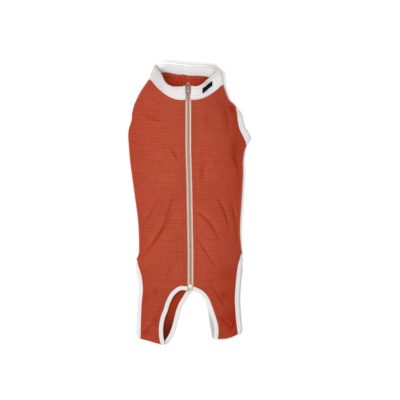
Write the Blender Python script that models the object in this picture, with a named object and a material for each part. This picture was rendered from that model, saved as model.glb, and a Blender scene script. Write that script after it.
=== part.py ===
"""A sleeveless pet recovery suit with a zip along its back, lying flat on the floor with the zip up.

Metres, +X right, +Y toward the neck, +Z up. The whole garment is first one middle surface, with each
piece a named patch of it. Each patch is then given its own thickness, so neighbours share one seam line.
"""

import math

import bpy
import numpy as np

for old in list(bpy.data.objects):
    bpy.data.objects.remove(old, do_unlink=True)

# Driving sizes, in metres
BODY_LENGTH = 0.466
HALF_CHEST = 0.1155
LOFT = 0.016
CLOTH = 0.0015
BINDING_WIDTH = 0.008
BINDING_THICK = 0.0022
COLLAR_WIDTH = 0.0285
COLLAR_THICK = 0.003
SEAM_GAP = 0.0004
ZIP_OPENING = 0.011
TAPE_UNDER = 0.007
TAPE_THICK = 0.0008
TAPE_SPLIT = 0.0003
SEAM_STRIP_WIDTH = 0.009
SEAM_STRIP_THICK = 0.001
ARM_HOLE_DEPTH = 0.038
ARM_HOLE_HALF_WIDTH = 0.021
ARM_HOLE_INSET = 0.029
LOWER_PEEK = {"left": 0.0006, "right": 0.0025}

# Counts
COLUMNS = 8
COLLAR_STEPS = 3
ROWS = {"arm_top": 3, "arm_bottom": 8, "leg_top": 9, "zip_end": 3, "fold": 10}

# Outline of the rust cloth: mark, along the body (share of BODY_LENGTH), out (share of HALF_CHEST)
LEFT_OUTLINE = (
    ("neck", -0.084, 0.655),
    ("", -0.031, 0.799),
    ("arm_top", 0.020, 0.900),
    ("", 0.052, 0.934),
    ("", 0.085, 0.946),
    ("", 0.119, 0.989),
    ("", 0.150, 1.000),
    ("arm_bottom", 0.195, 0.989),
    ("", 0.266, 0.962),
    ("", 0.394, 0.891),
    ("", 0.500, 0.836),
    ("", 0.590, 0.821),
    ("", 0.627, 0.827),
    ("leg_top", 0.653, 0.867),
    ("", 0.685, 0.821),
    ("zip_end", 0.716, 0.781),
    ("", 0.752, 0.760),
    ("", 0.783, 0.757),
    ("", 0.830, 0.776),
    ("", 0.888, 0.786),
    ("fold", 0.975, 0.797),
)
RIGHT_OUTLINE = (
    ("neck", -0.059, 0.567),
    ("", -0.038, 0.592),
    ("", 0.002, 0.658),
    ("", 0.016, 0.724),
    ("arm_top", 0.034, 0.786),
    ("", 0.067, 0.794),
    ("", 0.093, 0.806),
    ("", 0.121, 0.831),
    ("", 0.142, 0.872),
    ("", 0.167, 0.921),
    ("arm_bottom", 0.184, 0.952),
    ("", 0.205, 0.921),
    ("", 0.227, 0.901),
    ("", 0.254, 0.888),
    ("", 0.304, 0.888),
    ("", 0.382, 0.872),
    ("", 0.500, 0.8405),
    ("", 0.558, 0.8405),
    ("", 0.613, 0.864),
    ("leg_top", 0.628, 0.877),
    ("", 0.658, 0.824),
    ("", 0.685, 0.798),
    ("zip_end", 0.724, 0.778),
    ("", 0.771, 0.7615),
    ("", 0.818, 0.753),
    ("", 0.857, 0.7615),
    ("", 0.896, 0.773),
    ("fold", 0.956, 0.801),
)
# Cloth edge of the opening between the straps, upper layer: along, out
TOP_ARCH = {
    "left": (
        (0.760, 0.143),
        (0.773, 0.2385),
        (0.794, 0.316),
        (0.826, 0.380),
        (0.857, 0.419),
        (0.888, 0.4655),
        (0.927, 0.493),
        (0.966, 0.490),
        (1.000, 0.4655),
    ),
    "right": (
        (0.771, 0.171),
        (0.785, 0.250),
        (0.810, 0.329),
        (0.849, 0.391),
        (0.884, 0.439),
        (0.919, 0.479),
        (0.9465, 0.487),
        (0.976, 0.479),
    ),
}
# The same edge of the lower layer: along, out
BELLY_ARCH = {
    "left": (
        (0.779, 0.033),
        (0.802, 0.095),
        (0.829, 0.160),
        (0.857, 0.206),
        (0.888, 0.2385),
        (0.919, 0.270),
        (0.951, 0.316),
        (0.978, 0.380),
        (0.998, 0.452),
    ),
    "right": (
        (0.767, 0.132),
        (0.779, 0.222),
        (0.8005, 0.304),
        (0.827, 0.355),
        (0.864, 0.378),
        (0.900, 0.401),
        (0.933, 0.424),
        (0.962, 0.444),
        (0.977, 0.4655),
    ),
}
# Zip centre line: along, x (share of HALF_CHEST)
ZIP_LINE = ((-0.2, -0.013), (0.2, -0.013), (0.37, 0.006), (0.62, 0.023), (1.0, 0.023))
# Belly seam line: along, x (share of HALF_CHEST)
BELLY_LINE = ((-0.103, -0.094), (0.3, -0.03), (0.764, 0.049))
ZIP_END_ALONG = 0.761
BELLY_END_ALONG = 0.764
# Where the rows meet the zip edge and the belly seam: mark, along at the zip, along at the belly
INNER_MARKS = (
    ("neck", 0.0, -0.103),
    ("arm_top", 0.045, 0.0),
    ("arm_bottom", 0.175, 0.155),
    ("leg_top", 0.655, 0.655),
    ("zip_end", ZIP_END_ALONG, BELLY_END_ALONG),
)
# Sag of a row toward the straps (share of BODY_LENGTH): mark, upper left, upper right, lower
ROW_BOW = (
    ("neck", 0.025, 0.017, -0.0237, -0.0196),
    ("arm_top", 0.010, 0.008, -0.005, -0.005),
    ("arm_bottom", 0.0, 0.0, 0.0, 0.0),
    ("leg_top", 0.0, 0.0, 0.0, 0.0),
    ("zip_end", 0.0, 0.0, 0.0, 0.0),
    ("fold", 0.0, 0.007, 0.0, 0.007),
)
# Heights of the upper layer (shares of LOFT): along, at the zip, puff between, at the side
HEIGHTS = (
    (-0.10, 0.72, 0.05, 0.62),
    (0.00, 0.78, 0.10, 0.46),
    (0.05, 0.90, 0.14, 0.34),
    (0.12, 1.00, 0.20, 0.33),
    (0.20, 1.00, 0.22, 0.36),
    (0.35, 0.95, 0.25, 0.50),
    (0.52, 0.85, 0.25, 0.48),
    (0.65, 0.75, 0.25, 0.33),
    (0.70, 0.64, 0.22, 0.29),
    (0.76, 0.52, 0.20, 0.28),
    (0.82, 0.36, 0.18, 0.28),
    (0.90, 0.33, 0.14, 0.28),
    (1.00, 0.32, 0.05, 0.28),
)
# Soft folds of the upper layer: side, start along and out, end along and out, width (m), depth (m)
FOLDS = (
    ("left", 0.378, 0.247, 0.639, 0.740, 0.010, 0.0022),
    ("left", 0.211, 0.280, 0.248, 0.164, 0.008, 0.0012),
    ("right", 0.464, 0.092, 0.586, 0.518, 0.010, 0.0018),
    ("right", 0.407, 0.487, 0.521, 0.651, 0.008, 0.0014),
    ("right", 0.456, 0.641, 0.582, 0.789, 0.008, 0.0014),
)
# Which way the collar stands: share round the neck from the left zip edge, right, up, rise
COLLAR_LEAN = (
    (0.000, 0.00, 0.86, 0.51),
    (0.037, 0.01, 0.85, 0.53),
    (0.078, 0.05, 0.74, 0.67),
    (0.110, 0.13, 0.69, 0.71),
    (0.159, 0.20, 0.71, 0.67),
    (0.183, 0.27, 0.78, 0.56),
    (0.217, 0.33, 0.89, 0.32),
    (0.250, 0.35, 0.92, 0.18),
    (0.280, 0.36, 0.93, 0.13),
    (0.300, 0.28, 0.95, 0.13),
    (0.317, 0.20, 0.94, 0.27),
    (0.341, 0.16, 0.83, 0.53),
    (0.382, 0.11, 0.71, 0.69),
    (0.440, 0.06, 0.68, 0.73),
    (0.500, 0.02, 0.71, 0.70),
    (0.600, -0.03, 0.74, 0.67),
    (0.640, -0.05, 0.80, 0.60),
    (0.683, -0.06, 0.92, 0.38),
    (0.720, -0.02, 0.98, 0.17),
    (0.742, -0.05, 0.98, 0.19),
    (0.781, -0.21, 0.96, 0.19),
    (0.820, -0.30, 0.93, 0.21),
    (0.862, -0.31, 0.92, 0.24),
    (0.900, -0.22, 0.87, 0.44),
    (0.940, -0.12, 0.84, 0.53),
    (1.000, 0.00, 0.86, 0.51),
)

SIDES = {"left": -1.0, "right": 1.0}
ROW_OF = {"neck": 0}
for mark, count in ROWS.items():
    ROW_OF[mark] = ROW_OF[list(ROW_OF)[-1]] + count
LAST = ROW_OF["fold"]
ZIP_ROW = ROW_OF["zip_end"]


def at(table, where, column=1):
    """A column of a table, read at a value of its first column."""
    return float(np.interp(where, [row[0] for row in table], [row[column] for row in table]))


def smooth_line(points, steps=10):
    """Points on a Catmull-Rom curve through the given ones."""
    points = np.array(points, float)
    padded = np.vstack([2 * points[0] - points[1], points, 2 * points[-1] - points[-2]])
    found = []
    for k in range(len(points) - 1):
        a, b, c, d = padded[k : k + 4]
        for t in np.arange(steps) / steps:
            cubic = (3 * b - a - 3 * c + d) * t + (2 * a - 5 * b + 4 * c - d)
            found.append(b + 0.5 * (cubic * t + (c - a)) * t)
    found.append(points[-1])
    return np.array(found)


def evenly(points, count):
    """count + 1 points spaced evenly along a polyline."""
    length = np.r_[0.0, np.cumsum(np.linalg.norm(np.diff(points, axis=0), axis=1))]
    wanted = np.linspace(0.0, length[-1], count + 1)
    return np.stack([np.interp(wanted, length, points[:, k]) for k in (0, 1)], axis=1)


def place(along, x_share):
    """A point of the flat plan in metres, from its share along the body and its signed share across."""
    return np.array([x_share * HALF_CHEST, -along * BODY_LENGTH])


def outline_rows(table, sign):
    """The outline's point of each row."""
    marks = [k for k, row in enumerate(table) if row[0]]
    rows = []
    for first, last in zip(marks, marks[1:]):
        piece = [place(row[1], sign * row[2]) for row in table[first : last + 1]]
        dense = smooth_line(piece) if len(piece) > 2 else np.array(piece)
        even = evenly(dense, ROWS[table[last][0]])
        rows.extend(even if not rows else even[1:])
    return np.array(rows)


def zip_x(along):
    return at(ZIP_LINE, along) * HALF_CHEST


def belly_x(along):
    return at(BELLY_LINE, along) * HALF_CHEST


def inner_rows(column):
    """How far along each row starts, at the zip (column 1) or at the belly seam (column 2)."""
    found = [INNER_MARKS[0][column]]
    for before, after in zip(INNER_MARKS, INNER_MARKS[1:]):
        found.extend(np.linspace(before[column], after[column], ROWS[after[0]] + 1)[1:])
    return np.array(found)


def arch_rows(start, shares, sign):
    piece = [start] + [place(along, sign * out) for along, out in shares]
    return evenly(smooth_line(piece), LAST - ZIP_ROW)


def normals_2d(line, toward):
    """Unit normals of a plan line, on the side of a given direction at its start."""
    tangent = np.gradient(line, axis=0)
    tangent /= np.linalg.norm(tangent, axis=1)[:, None]
    normal = np.stack([-tangent[:, 1], tangent[:, 0]], axis=1)
    return normal if normal[0] @ np.array(toward) > 0 else -normal


def row_value(table, row, column):
    return float(np.interp(row, [ROW_OF[line[0]] for line in table], [line[column] for line in table]))


points = []
patches = []


def vertex(x, y, z):
    points.append(np.array([x, y, z], float))
    return len(points) - 1


def patch(name, a, b, c, d, flip):
    """A quad of the middle surface that belongs to the named piece."""
    corners = [a, b, c, d] if not flip else [d, c, b, a]
    distinct = [v for k, v in enumerate(corners) if v != corners[k - 1]]
    if len(distinct) >= 3:
        patches.append((name, distinct))


def fold_depth(side, x, y):
    """How far the soft folds lower the upper layer at a plan point."""
    total = 0.0
    for which, along0, out0, along1, out1, width, depth in FOLDS:
        if which != side:
            continue
        a = place(along0, SIDES[side] * out0)
        b = place(along1, SIDES[side] * out1)
        t = np.clip((np.array([x, y]) - a) @ (b - a) / ((b - a) @ (b - a)), 0.0, 1.0)
        away = np.linalg.norm(np.array([x, y]) - a - t * (b - a))
        total += depth * math.exp(-((away / width) ** 2)) * (0.35 + 0.65 * math.sin(math.pi * t))
    return total


def upper_height(along, s):
    crown = at(HEIGHTS, along, 1) * LOFT
    puff = at(HEIGHTS, along, 2) * LOFT
    edge = at(HEIGHTS, along, 3) * LOFT
    return edge + (crown - edge) * (1.0 - s**2.2) + puff * math.sin(math.pi * s)


def upper_shares(width):
    """Shares across an upper row: the second one lies over the zip tape's edge."""
    first = TAPE_UNDER / width
    return np.r_[0.0, np.linspace(first, 1.0, COLUMNS)]


def hole_bump(row):
    """0 where the right front-leg hole's binding shuts, at both ends, and 1 in its middle."""
    first, last = ROW_OF["arm_top"] + 1, ROW_OF["arm_bottom"] - 1
    return math.sin(math.pi * (row - first) / (last - first)) if first < row < last else 0.0


class Half:
    """The grids of one half of the suit. Row 0 is the neck and row LAST the strap's end."""

    def __init__(self, side):
        self.side = side
        self.sign = SIDES[side]
        self.top = {}
        self.low = {}
        self.turn = {}
        self.slit = {}
        self.outline = outline_rows(LEFT_OUTLINE if side == "left" else RIGHT_OUTLINE, self.sign)
        self.outward = normals_2d(self.outline, (self.sign, 0.0))

    def kind(self, row):
        """closed: cloth runs round the side. shut: binding closes there. open: two free edges."""
        first, last = ROW_OF["arm_top"], ROW_OF["arm_bottom"]
        if self.side == "right" and first < row < last:
            return "shut" if row in (first + 1, last - 1) else "open"
        if row > ROW_OF["leg_top"]:
            return "shut" if row == ROW_OF["leg_top"] + 1 else "open"
        return "closed"

    def edge_height(self, row):
        along = -self.outline[row][1] / BODY_LENGTH
        bump = hole_bump(row) if self.side == "right" else 0.0
        return at(HEIGHTS, along, 3) * LOFT - 0.0019 * bump**4

    def edge_point(self, row):
        """Where the upper layer ends and the side turn or the binding starts."""
        if self.kind(row) != "closed":
            return self.outline[row]
        radius = (self.edge_height(row) - CLOTH / 2) / 2
        return self.outline[row] - self.outward[row] * (radius + CLOTH / 2)

    def make_upper(self):
        along_zip = inner_rows(1)
        start = np.array([zip_x(ZIP_END_ALONG) + self.sign * ZIP_OPENING / 2, -ZIP_END_ALONG * BODY_LENGTH])
        arch = arch_rows(start, TOP_ARCH[self.side], self.sign)
        self.arch = arch
        for row in range(LAST + 1):
            edge = self.edge_point(row)
            if row <= ZIP_ROW:
                y = -along_zip[row] * BODY_LENGTH
                inner = np.array([zip_x(along_zip[row]) + self.sign * ZIP_OPENING / 2, y])
            else:
                inner = arch[row - ZIP_ROW]
            bow = row_value(ROW_BOW, row, 1 if self.side == "left" else 2) * BODY_LENGTH
            lift = self.edge_height(row)
            for column, s in enumerate(upper_shares(np.linalg.norm(edge - inner))):
                x, y = inner + (edge - inner) * s
                y -= bow * 4 * s * (1 - s)
                along = -y / BODY_LENGTH
                z = upper_height(along, s) + (lift - at(HEIGHTS, along, 3) * LOFT) * s**2.2
                z -= fold_depth(self.side, x, y) * min(1.0, 6 * (1 - s)) * min(1.0, 6 * s)
                if row == LAST:
                    y += (z - CLOTH / 2) / 2 + CLOTH / 2
                self.top[row, column] = vertex(x, y, z)

    def make_lower(self, belly):
        arch = arch_rows(place(BELLY_END_ALONG, belly_x(BELLY_END_ALONG) / HALF_CHEST),
                         BELLY_ARCH[self.side], self.sign)
        self.belly_arch = arch
        along_belly = inner_rows(2)
        first, last = ROW_OF["arm_top"], ROW_OF["arm_bottom"]
        for row in range(LAST + 1):
            edge = self.edge_point(row)
            if self.kind(row) == "open" and row > last:
                edge = edge + self.outward[row] * LOWER_PEEK[self.side]
            if self.side == "right":
                edge = edge - np.array([self.sign, 0.0]) * ARM_HOLE_DEPTH * hole_bump(row)
            if row <= ZIP_ROW:
                inner = np.array([belly_x(along_belly[row]), -along_belly[row] * BODY_LENGTH])
            else:
                inner = arch[row - ZIP_ROW]
            bow = row_value(ROW_BOW, row, 3 if self.side == "left" else 4) * BODY_LENGTH
            near_neck = max(0.0, 1.0 - row / 6.0)
            shares = np.linspace(0.0, 1.0, COLUMNS + 1)
            slit = self.side == "left" and first <= row <= last
            width = np.linalg.norm(edge - inner)
            if slit:
                middle = 1.0 - (ARM_HOLE_INSET - 0.003) / width
                u = 2.0 * (row - first) / (last - first) - 1.0
                half = ARM_HOLE_HALF_WIDTH * math.sqrt(1.0 - u * u) / width
                shares[:COLUMNS] = np.linspace(0.0, middle - half, COLUMNS)
            for column, s in enumerate(shares):
                x, y = inner + (edge - inner) * s
                y -= bow * s * (1 - s) * (6.75 * s * near_neck + 4 * (1 - near_neck))
                if row == LAST:
                    y += (points[self.top[row, column]][2] - CLOTH / 2) / 2 + CLOTH / 2
                if column == 0 and row <= ZIP_ROW:
                    self.low[row, 0] = belly[row]
                    continue
                self.low[row, column] = vertex(x, y, CLOTH / 2)
            if slit and first < row < last:
                x, y = inner + (edge - inner) * (middle + half)
                self.slit[row] = vertex(x, y, CLOTH / 2)

    def make_turns(self):
        """The three points that carry each row round the side, as cloth or as binding."""
        for row in range(LAST + 1):
            upper = points[self.top[row, COLUMNS]]
            lower = points[self.low[row, COLUMNS]]
            out = np.r_[self.outward[row], 0.0]
            kind = self.kind(row)
            if kind == "closed":
                centre = (upper + lower) / 2
                radius = (upper[2] - lower[2]) / 2
                arc = [centre + radius * (out * math.cos(a) + np.array([0, 0, math.sin(a)]))
                       for a in (math.pi / 4, 0.0, -math.pi / 4)]
                near, tip, under = (vertex(*p) for p in arc)
                self.turn[row] = (near, tip, tip, under)
                continue
            if kind == "shut":
                reach = 0.62 * BINDING_WIDTH
                near = vertex(*(upper + out * reach * 0.5))
                tip = vertex(*((upper * [1, 1, 0.5]) + (0, 0, lower[2] / 2) + out * reach))
                under = vertex(*(np.r_[upper[:2], lower[2]] + out * reach * 0.5))
                self.turn[row] = (near, tip, tip, under)
                continue
            near = vertex(*(upper + out * BINDING_WIDTH / 2))
            tip = vertex(*(upper + out * BINDING_WIDTH - (0, 0, 0.0003)))
            if row < ROW_OF["arm_bottom"]:
                before, after = (points[self.low[r, COLUMNS]] for r in (row - 1, row + 1))
                out = np.array([before[1] - after[1], after[0] - before[0], 0.0])
                out /= np.linalg.norm(out)
            under = vertex(*(lower + out * BINDING_WIDTH / 2))
            low_tip = vertex(*(lower + out * BINDING_WIDTH))
            self.turn[row] = (near, tip, low_tip, under)

    def make_inner_binding(self, apex):
        """Two more columns on the edge between the straps, on both layers."""
        away = -self.sign
        top_normal = normals_2d(self.arch, (0.0, -1.0))
        low_normal = normals_2d(self.belly_arch, (0.0, -1.0))
        top_normal[0] = (0.0, -1.0)
        top_normal[-1] = (away, 0.0)
        low_normal[-1] = (away, 0.0)
        for row in range(ZIP_ROW, LAST + 1):
            for step in (1, 2):
                reach = BINDING_WIDTH * step / 2
                p = points[self.top[row, 0]] + np.r_[top_normal[row - ZIP_ROW] * reach, -0.0002 * step]
                self.top[row, -step] = vertex(*p)
                if row == ZIP_ROW:
                    self.low[row, -step] = apex[step]
                else:
                    p = points[self.low[row, 0]] + np.r_[low_normal[row - ZIP_ROW] * reach, 0.0]
                    self.low[row, -step] = vertex(*p)

    def chain(self, row):
        """Vertices of a row from the zip edge over the side to the belly seam."""
        upper = [self.top[row, c] for c in range(COLUMNS + 1)]
        lower = [self.low[row, c] for c in range(COLUMNS, -1, -1)]
        return upper, self.turn[row], lower

    def make_patches(self):
        flip = self.side == "right"
        body, leg, arm = ("body_" + self.side, "leg_binding_" + self.side, "arm_binding_" + self.side)
        first, last = ROW_OF["arm_top"], ROW_OF["arm_bottom"]
        for row in range(LAST):
            upper, turn, lower = self.chain(row)
            upper2, turn2, lower2 = self.chain(row + 1)
            for c in range(COLUMNS):
                patch(body, upper[c], upper[c + 1], upper2[c + 1], upper2[c], flip)
            edge = body
            if self.side == "right" and first <= row < last:
                edge = arm
            if row >= ROW_OF["leg_top"]:
                edge = leg
            patch(edge, upper[-1], turn[0], turn2[0], upper2[-1], flip)
            patch(edge, turn[0], turn[1], turn2[1], turn2[0], flip)
            patch(edge, turn[2], turn[3], turn2[3], turn2[2], flip)
            patch(edge, turn[3], lower[0], lower2[0], turn2[3], flip)
            for c in range(COLUMNS):
                a, b, a2, b2 = lower[c], lower[c + 1], lower2[c], lower2[c + 1]
                if c == 0 and self.side == "left":
                    b = self.slit.get(row, b)
                    b2 = self.slit.get(row + 1, b2)
                patch(body, a, b, b2, a2, flip)
            if row >= ZIP_ROW:
                for c in (-2, -1):
                    patch("tail_binding", self.top[row, c], self.top[row, c + 1],
                          self.top[row + 1, c + 1], self.top[row + 1, c], flip)
                    patch("tail_binding", self.low[row, c + 1], self.low[row, c],
                          self.low[row + 1, c], self.low[row + 1, c + 1], flip)

    def make_strap_fold(self):
        """The fold at the strap's end, which joins both layers."""
        flip = self.side == "right"
        upper = [self.top[LAST, c] for c in range(-2, COLUMNS + 1)] + list(self.turn[LAST][:2])
        lower = [self.low[LAST, c] for c in range(-2, COLUMNS + 1)]
        lower += [self.turn[LAST][3], self.turn[LAST][2]]
        rows = [upper, [], [], [], lower]
        for a, b in zip(upper, lower):
            high, deep = points[a], points[b]
            radius = (high[2] - deep[2]) / 2
            for k, angle in enumerate((math.pi / 4, 0.0, -math.pi / 4)):
                share = (1 - math.sin(angle)) / 2
                x, y = high[:2] * (1 - share) + deep[:2] * share
                z = (high[2] + deep[2]) / 2 + radius * math.sin(angle)
                rows[k + 1].append(vertex(x, y - radius * math.cos(angle), z))
        for before, after in zip(rows, rows[1:]):
            for k in range(len(upper) - 1):
                name = "tail_binding" if k < 2 else "body_" + self.side
                if k >= COLUMNS + 2:
                    name = "leg_binding_" + self.side
                patch(name, before[k], before[k + 1], after[k + 1], after[k], flip)

    def make_slit_binding(self):
        """The ring of binding inside the left front-leg hole, which lies on the floor side."""
        first, last = ROW_OF["arm_top"], ROW_OF["arm_bottom"]
        column = COLUMNS - 1
        loop = [self.low[row, column] for row in range(first, last + 1)]
        loop += [self.slit[row] for row in range(last - 1, first, -1)]
        plan = np.array([points[v][:2] for v in loop])
        tangent = np.roll(plan, -1, axis=0) - np.roll(plan, 1, axis=0)
        normal = np.stack([-tangent[:, 1], tangent[:, 0]], axis=1)
        normal /= np.linalg.norm(normal, axis=1)[:, None]
        if (plan.mean(axis=0) - plan[0]) @ normal[0] < 0:
            normal = -normal
        rings = [loop]
        for step in (1, 2):
            moved = plan + normal * BINDING_WIDTH * step / 2
            rings.append([vertex(x, y, CLOTH / 2) for x, y in moved])
        for before, after in zip(rings, rings[1:]):
            for k in range(len(loop)):
                n = (k + 1) % len(loop)
                patch("arm_binding_left", before[k], before[n], after[n], after[k], False)


# The two halves meet on the belly seam
along_belly = inner_rows(2)
belly = [vertex(belly_x(a), -a * BODY_LENGTH, CLOTH / 2) for a in along_belly]
apex_point = points[belly[ZIP_ROW]]
apex = {step: vertex(*(apex_point + np.array([0.0, -BINDING_WIDTH * step / 2, 0.0]))) for step in (1, 2)}
halves = {side: Half(side) for side in SIDES}
for half in halves.values():
    half.make_upper()
    half.make_lower(belly)
    half.make_turns()
    half.make_inner_binding(apex)
    half.make_patches()
    half.make_strap_fold()
halves["left"].make_slit_binding()

# The collar stands on the ring of neck vertices
left, right = halves["left"], halves["right"]
ring = []
for half, order in ((left, 1), (right, -1)):
    upper, turn, lower = half.chain(0)
    strip = upper + [turn[0], turn[1], turn[3]] + lower
    ring.extend(strip if order == 1 else strip[::-1][1:])
ring_points = np.array([points[v] for v in ring])
ring_share = np.r_[0.0, np.cumsum(np.linalg.norm(np.diff(ring_points, axis=0), axis=1))]
ring_share /= ring_share[-1]
collar = [ring]
for step in range(1, COLLAR_STEPS + 1):
    line = []
    for share, base in zip(ring_share, ring_points):
        lean = np.array([at(COLLAR_LEAN, share, k) for k in (1, 2, 3)])
        lean /= np.linalg.norm(lean)
        line.append(vertex(*(base + lean * COLLAR_WIDTH * step / COLLAR_STEPS)))
    collar.append(line)
for before, after in zip(collar, collar[1:]):
    for k in range(len(ring) - 1):
        patch("collar", before[k], after[k], after[k + 1], before[k + 1], False)

# Normals of the middle surface
surface_normals = np.zeros((len(points), 3))
for name, corners in patches:
    p = [points[v] for v in corners]
    area = np.cross(p[1] - p[0], p[2] - p[0])
    if len(p) == 4:
        area = area + np.cross(p[2] - p[0], p[3] - p[0])
    for v in corners:
        surface_normals[v] += area
lengths = np.linalg.norm(surface_normals, axis=1)
surface_normals /= np.where(lengths > 0, lengths, 1.0)[:, None]

COLOURS = {
    "body": (0.46, 0.075, 0.034),
    "white": (0.82, 0.80, 0.79),
    "tape": (0.72, 0.56, 0.45),
    "chain": (0.38, 0.28, 0.22),
    "metal": (0.62, 0.62, 0.64),
    "black": (0.012, 0.012, 0.013),
}


def new_object(name, vertices, faces, colour, rough=0.9, metallic=0.0):
    mesh = bpy.data.meshes.new(name)
    mesh.from_pydata([tuple(float(c) for c in v) for v in vertices], [], faces)
    mesh.validate()
    material = bpy.data.materials.new(name)
    material.use_nodes = True
    shader = material.node_tree.nodes["Principled BSDF"]
    shader.inputs["Base Color"].default_value = (*COLOURS[colour], 1.0)
    shader.inputs["Roughness"].default_value = rough
    shader.inputs["Metallic"].default_value = metallic
    mesh.materials.append(material)
    mesh.polygons.foreach_set("use_smooth", [True] * len(mesh.polygons))
    mesh.set_sharp_from_angle(angle=math.radians(35))
    obj = bpy.data.objects.new(name, mesh)
    bpy.context.scene.collection.objects.link(obj)
    return obj


def edges_of(corners):
    return [(corners[k - 1], corners[k]) for k in range(len(corners))]


def thick_piece(name, thickness, colour):
    """One named patch of the middle surface, given its thickness and parted from its neighbours."""
    own = [corners for which, corners in patches if which == name]
    others = {frozenset(e) for which, corners in patches if which != name for e in edges_of(corners)}
    count = {}
    for corners in own:
        for a, b in edges_of(corners):
            count[frozenset((a, b))] = count.get(frozenset((a, b)), 0) + 1
    used = sorted({v for corners in own for v in corners})
    number = {v: k for k, v in enumerate(used)}
    rim = []
    inward = {v: [] for v in used}
    for corners in own:
        p = [points[v] for v in corners]
        face_normal = np.cross(p[1] - p[0], p[2] - p[0]) + np.cross(p[2] - p[0], p[-1] - p[0])
        for a, b in edges_of(corners):
            if count[frozenset((a, b))] != 1:
                continue
            rim.append((a, b))
            if frozenset((a, b)) in others:
                across = np.cross(face_normal, points[b] - points[a])
                across /= np.linalg.norm(across)
                inward[a].append(across)
                inward[b].append(across)
    upper, lower = [], []
    for v in used:
        base = points[v].copy()
        if inward[v]:
            mean = np.mean(inward[v], axis=0)
            size = np.linalg.norm(mean)
            base += mean / size * SEAM_GAP / 2 / max(size, 0.5)
        upper.append(base + surface_normals[v] * thickness / 2)
        below = base - surface_normals[v] * thickness / 2
        lower.append(below)
    for line in (upper, lower):
        for p in line:
            p[2] = max(p[2], 0.0)
    total = len(used)
    faces = []
    for corners in own:
        c = [number[v] for v in corners]
        for k in range(1, len(c) - 1):
            faces.append((c[0], c[k], c[k + 1]))
            faces.append((c[0] + total, c[k + 1] + total, c[k] + total))
    for a, b in rim:
        a, b = number[a], number[b]
        faces.append((b, a, a + total))
        faces.append((b, a + total, b + total))
    return new_object(name, upper + lower, faces, colour)


thick_piece("body_left", CLOTH, "body")
thick_piece("body_right", CLOTH, "body")
thick_piece("collar", COLLAR_THICK, "white")
thick_piece("arm_binding_left", BINDING_THICK, "white")
thick_piece("arm_binding_right", BINDING_THICK, "white")
thick_piece("leg_binding_left", BINDING_THICK, "white")
thick_piece("leg_binding_right", BINDING_THICK, "white")
thick_piece("tail_binding", BINDING_THICK, "white")


def strip(name, stations, colour, rough=0.9, metallic=0.0):
    """A closed body through rings of points, one ring at each station."""
    size = len(stations[0])
    vertices = [p for ring_here in stations for p in ring_here]
    faces = []
    for k in range(len(stations) - 1):
        for j in range(size):
            n = (j + 1) % size
            a, b = k * size + j, k * size + n
            c, d = (k + 1) * size + n, (k + 1) * size + j
            faces.append((a, b, c))
            faces.append((a, c, d))
    last = (len(stations) - 1) * size
    faces.append(tuple(range(size - 1, -1, -1)))
    faces.append(tuple(last + j for j in range(size)))
    volume = 0.0
    for face in faces:
        for k in range(1, len(face) - 1):
            a, b, c = (np.array(vertices[face[i]]) for i in (0, k, k + 1))
            volume += np.dot(a, np.cross(b, c))
    if volume < 0:
        faces = [face[::-1] for face in faces]
    return new_object(name, vertices, faces, colour, rough, metallic)


# The seam allowance along the belly lies on the inner face of the lower layer
stations = []
for along in np.linspace(along_belly[0] + 0.008, BELLY_END_ALONG - 0.010, 12):
    x, y = belly_x(along), -along * BODY_LENGTH
    z0 = CLOTH + SEAM_GAP
    w = SEAM_STRIP_WIDTH / 2
    stations.append([(x - w, y, z0), (x + w, y, z0), (x + w, y, z0 + SEAM_STRIP_THICK),
                     (x - w, y, z0 + SEAM_STRIP_THICK)])
strip("belly_seam", stations, "body")

# The collar's front slope carries the slider
SLOPE = np.array([0.0, 0.86, 0.51]) / math.hypot(0.86, 0.51)
ACROSS = np.array([1.0, 0.0, 0.0])
SLOPE_NORMAL = np.cross(ACROSS, SLOPE)
UNDER_COLLAR = COLLAR_THICK / 2 + TAPE_THICK / 2 + SEAM_GAP
UNDER_CLOTH = CLOTH / 2 + TAPE_THICK / 2 + SEAM_GAP + 0.00005
UNDER_BINDING = BINDING_THICK / 2 + TAPE_THICK / 2 + SEAM_GAP + 0.0002
SLIDER_SHARE = 2 / 3
SPLIT_SHARE = SLIDER_SHARE + 0.0032 / COLLAR_WIDTH


def collar_line(column, share):
    """A point of the collar's middle surface: ring index and share of its width."""
    k = min(int(share * COLLAR_STEPS), COLLAR_STEPS - 1)
    t = share * COLLAR_STEPS - k
    return points[collar[k][column]] * (1 - t) + points[collar[k + 1][column]] * t


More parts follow.
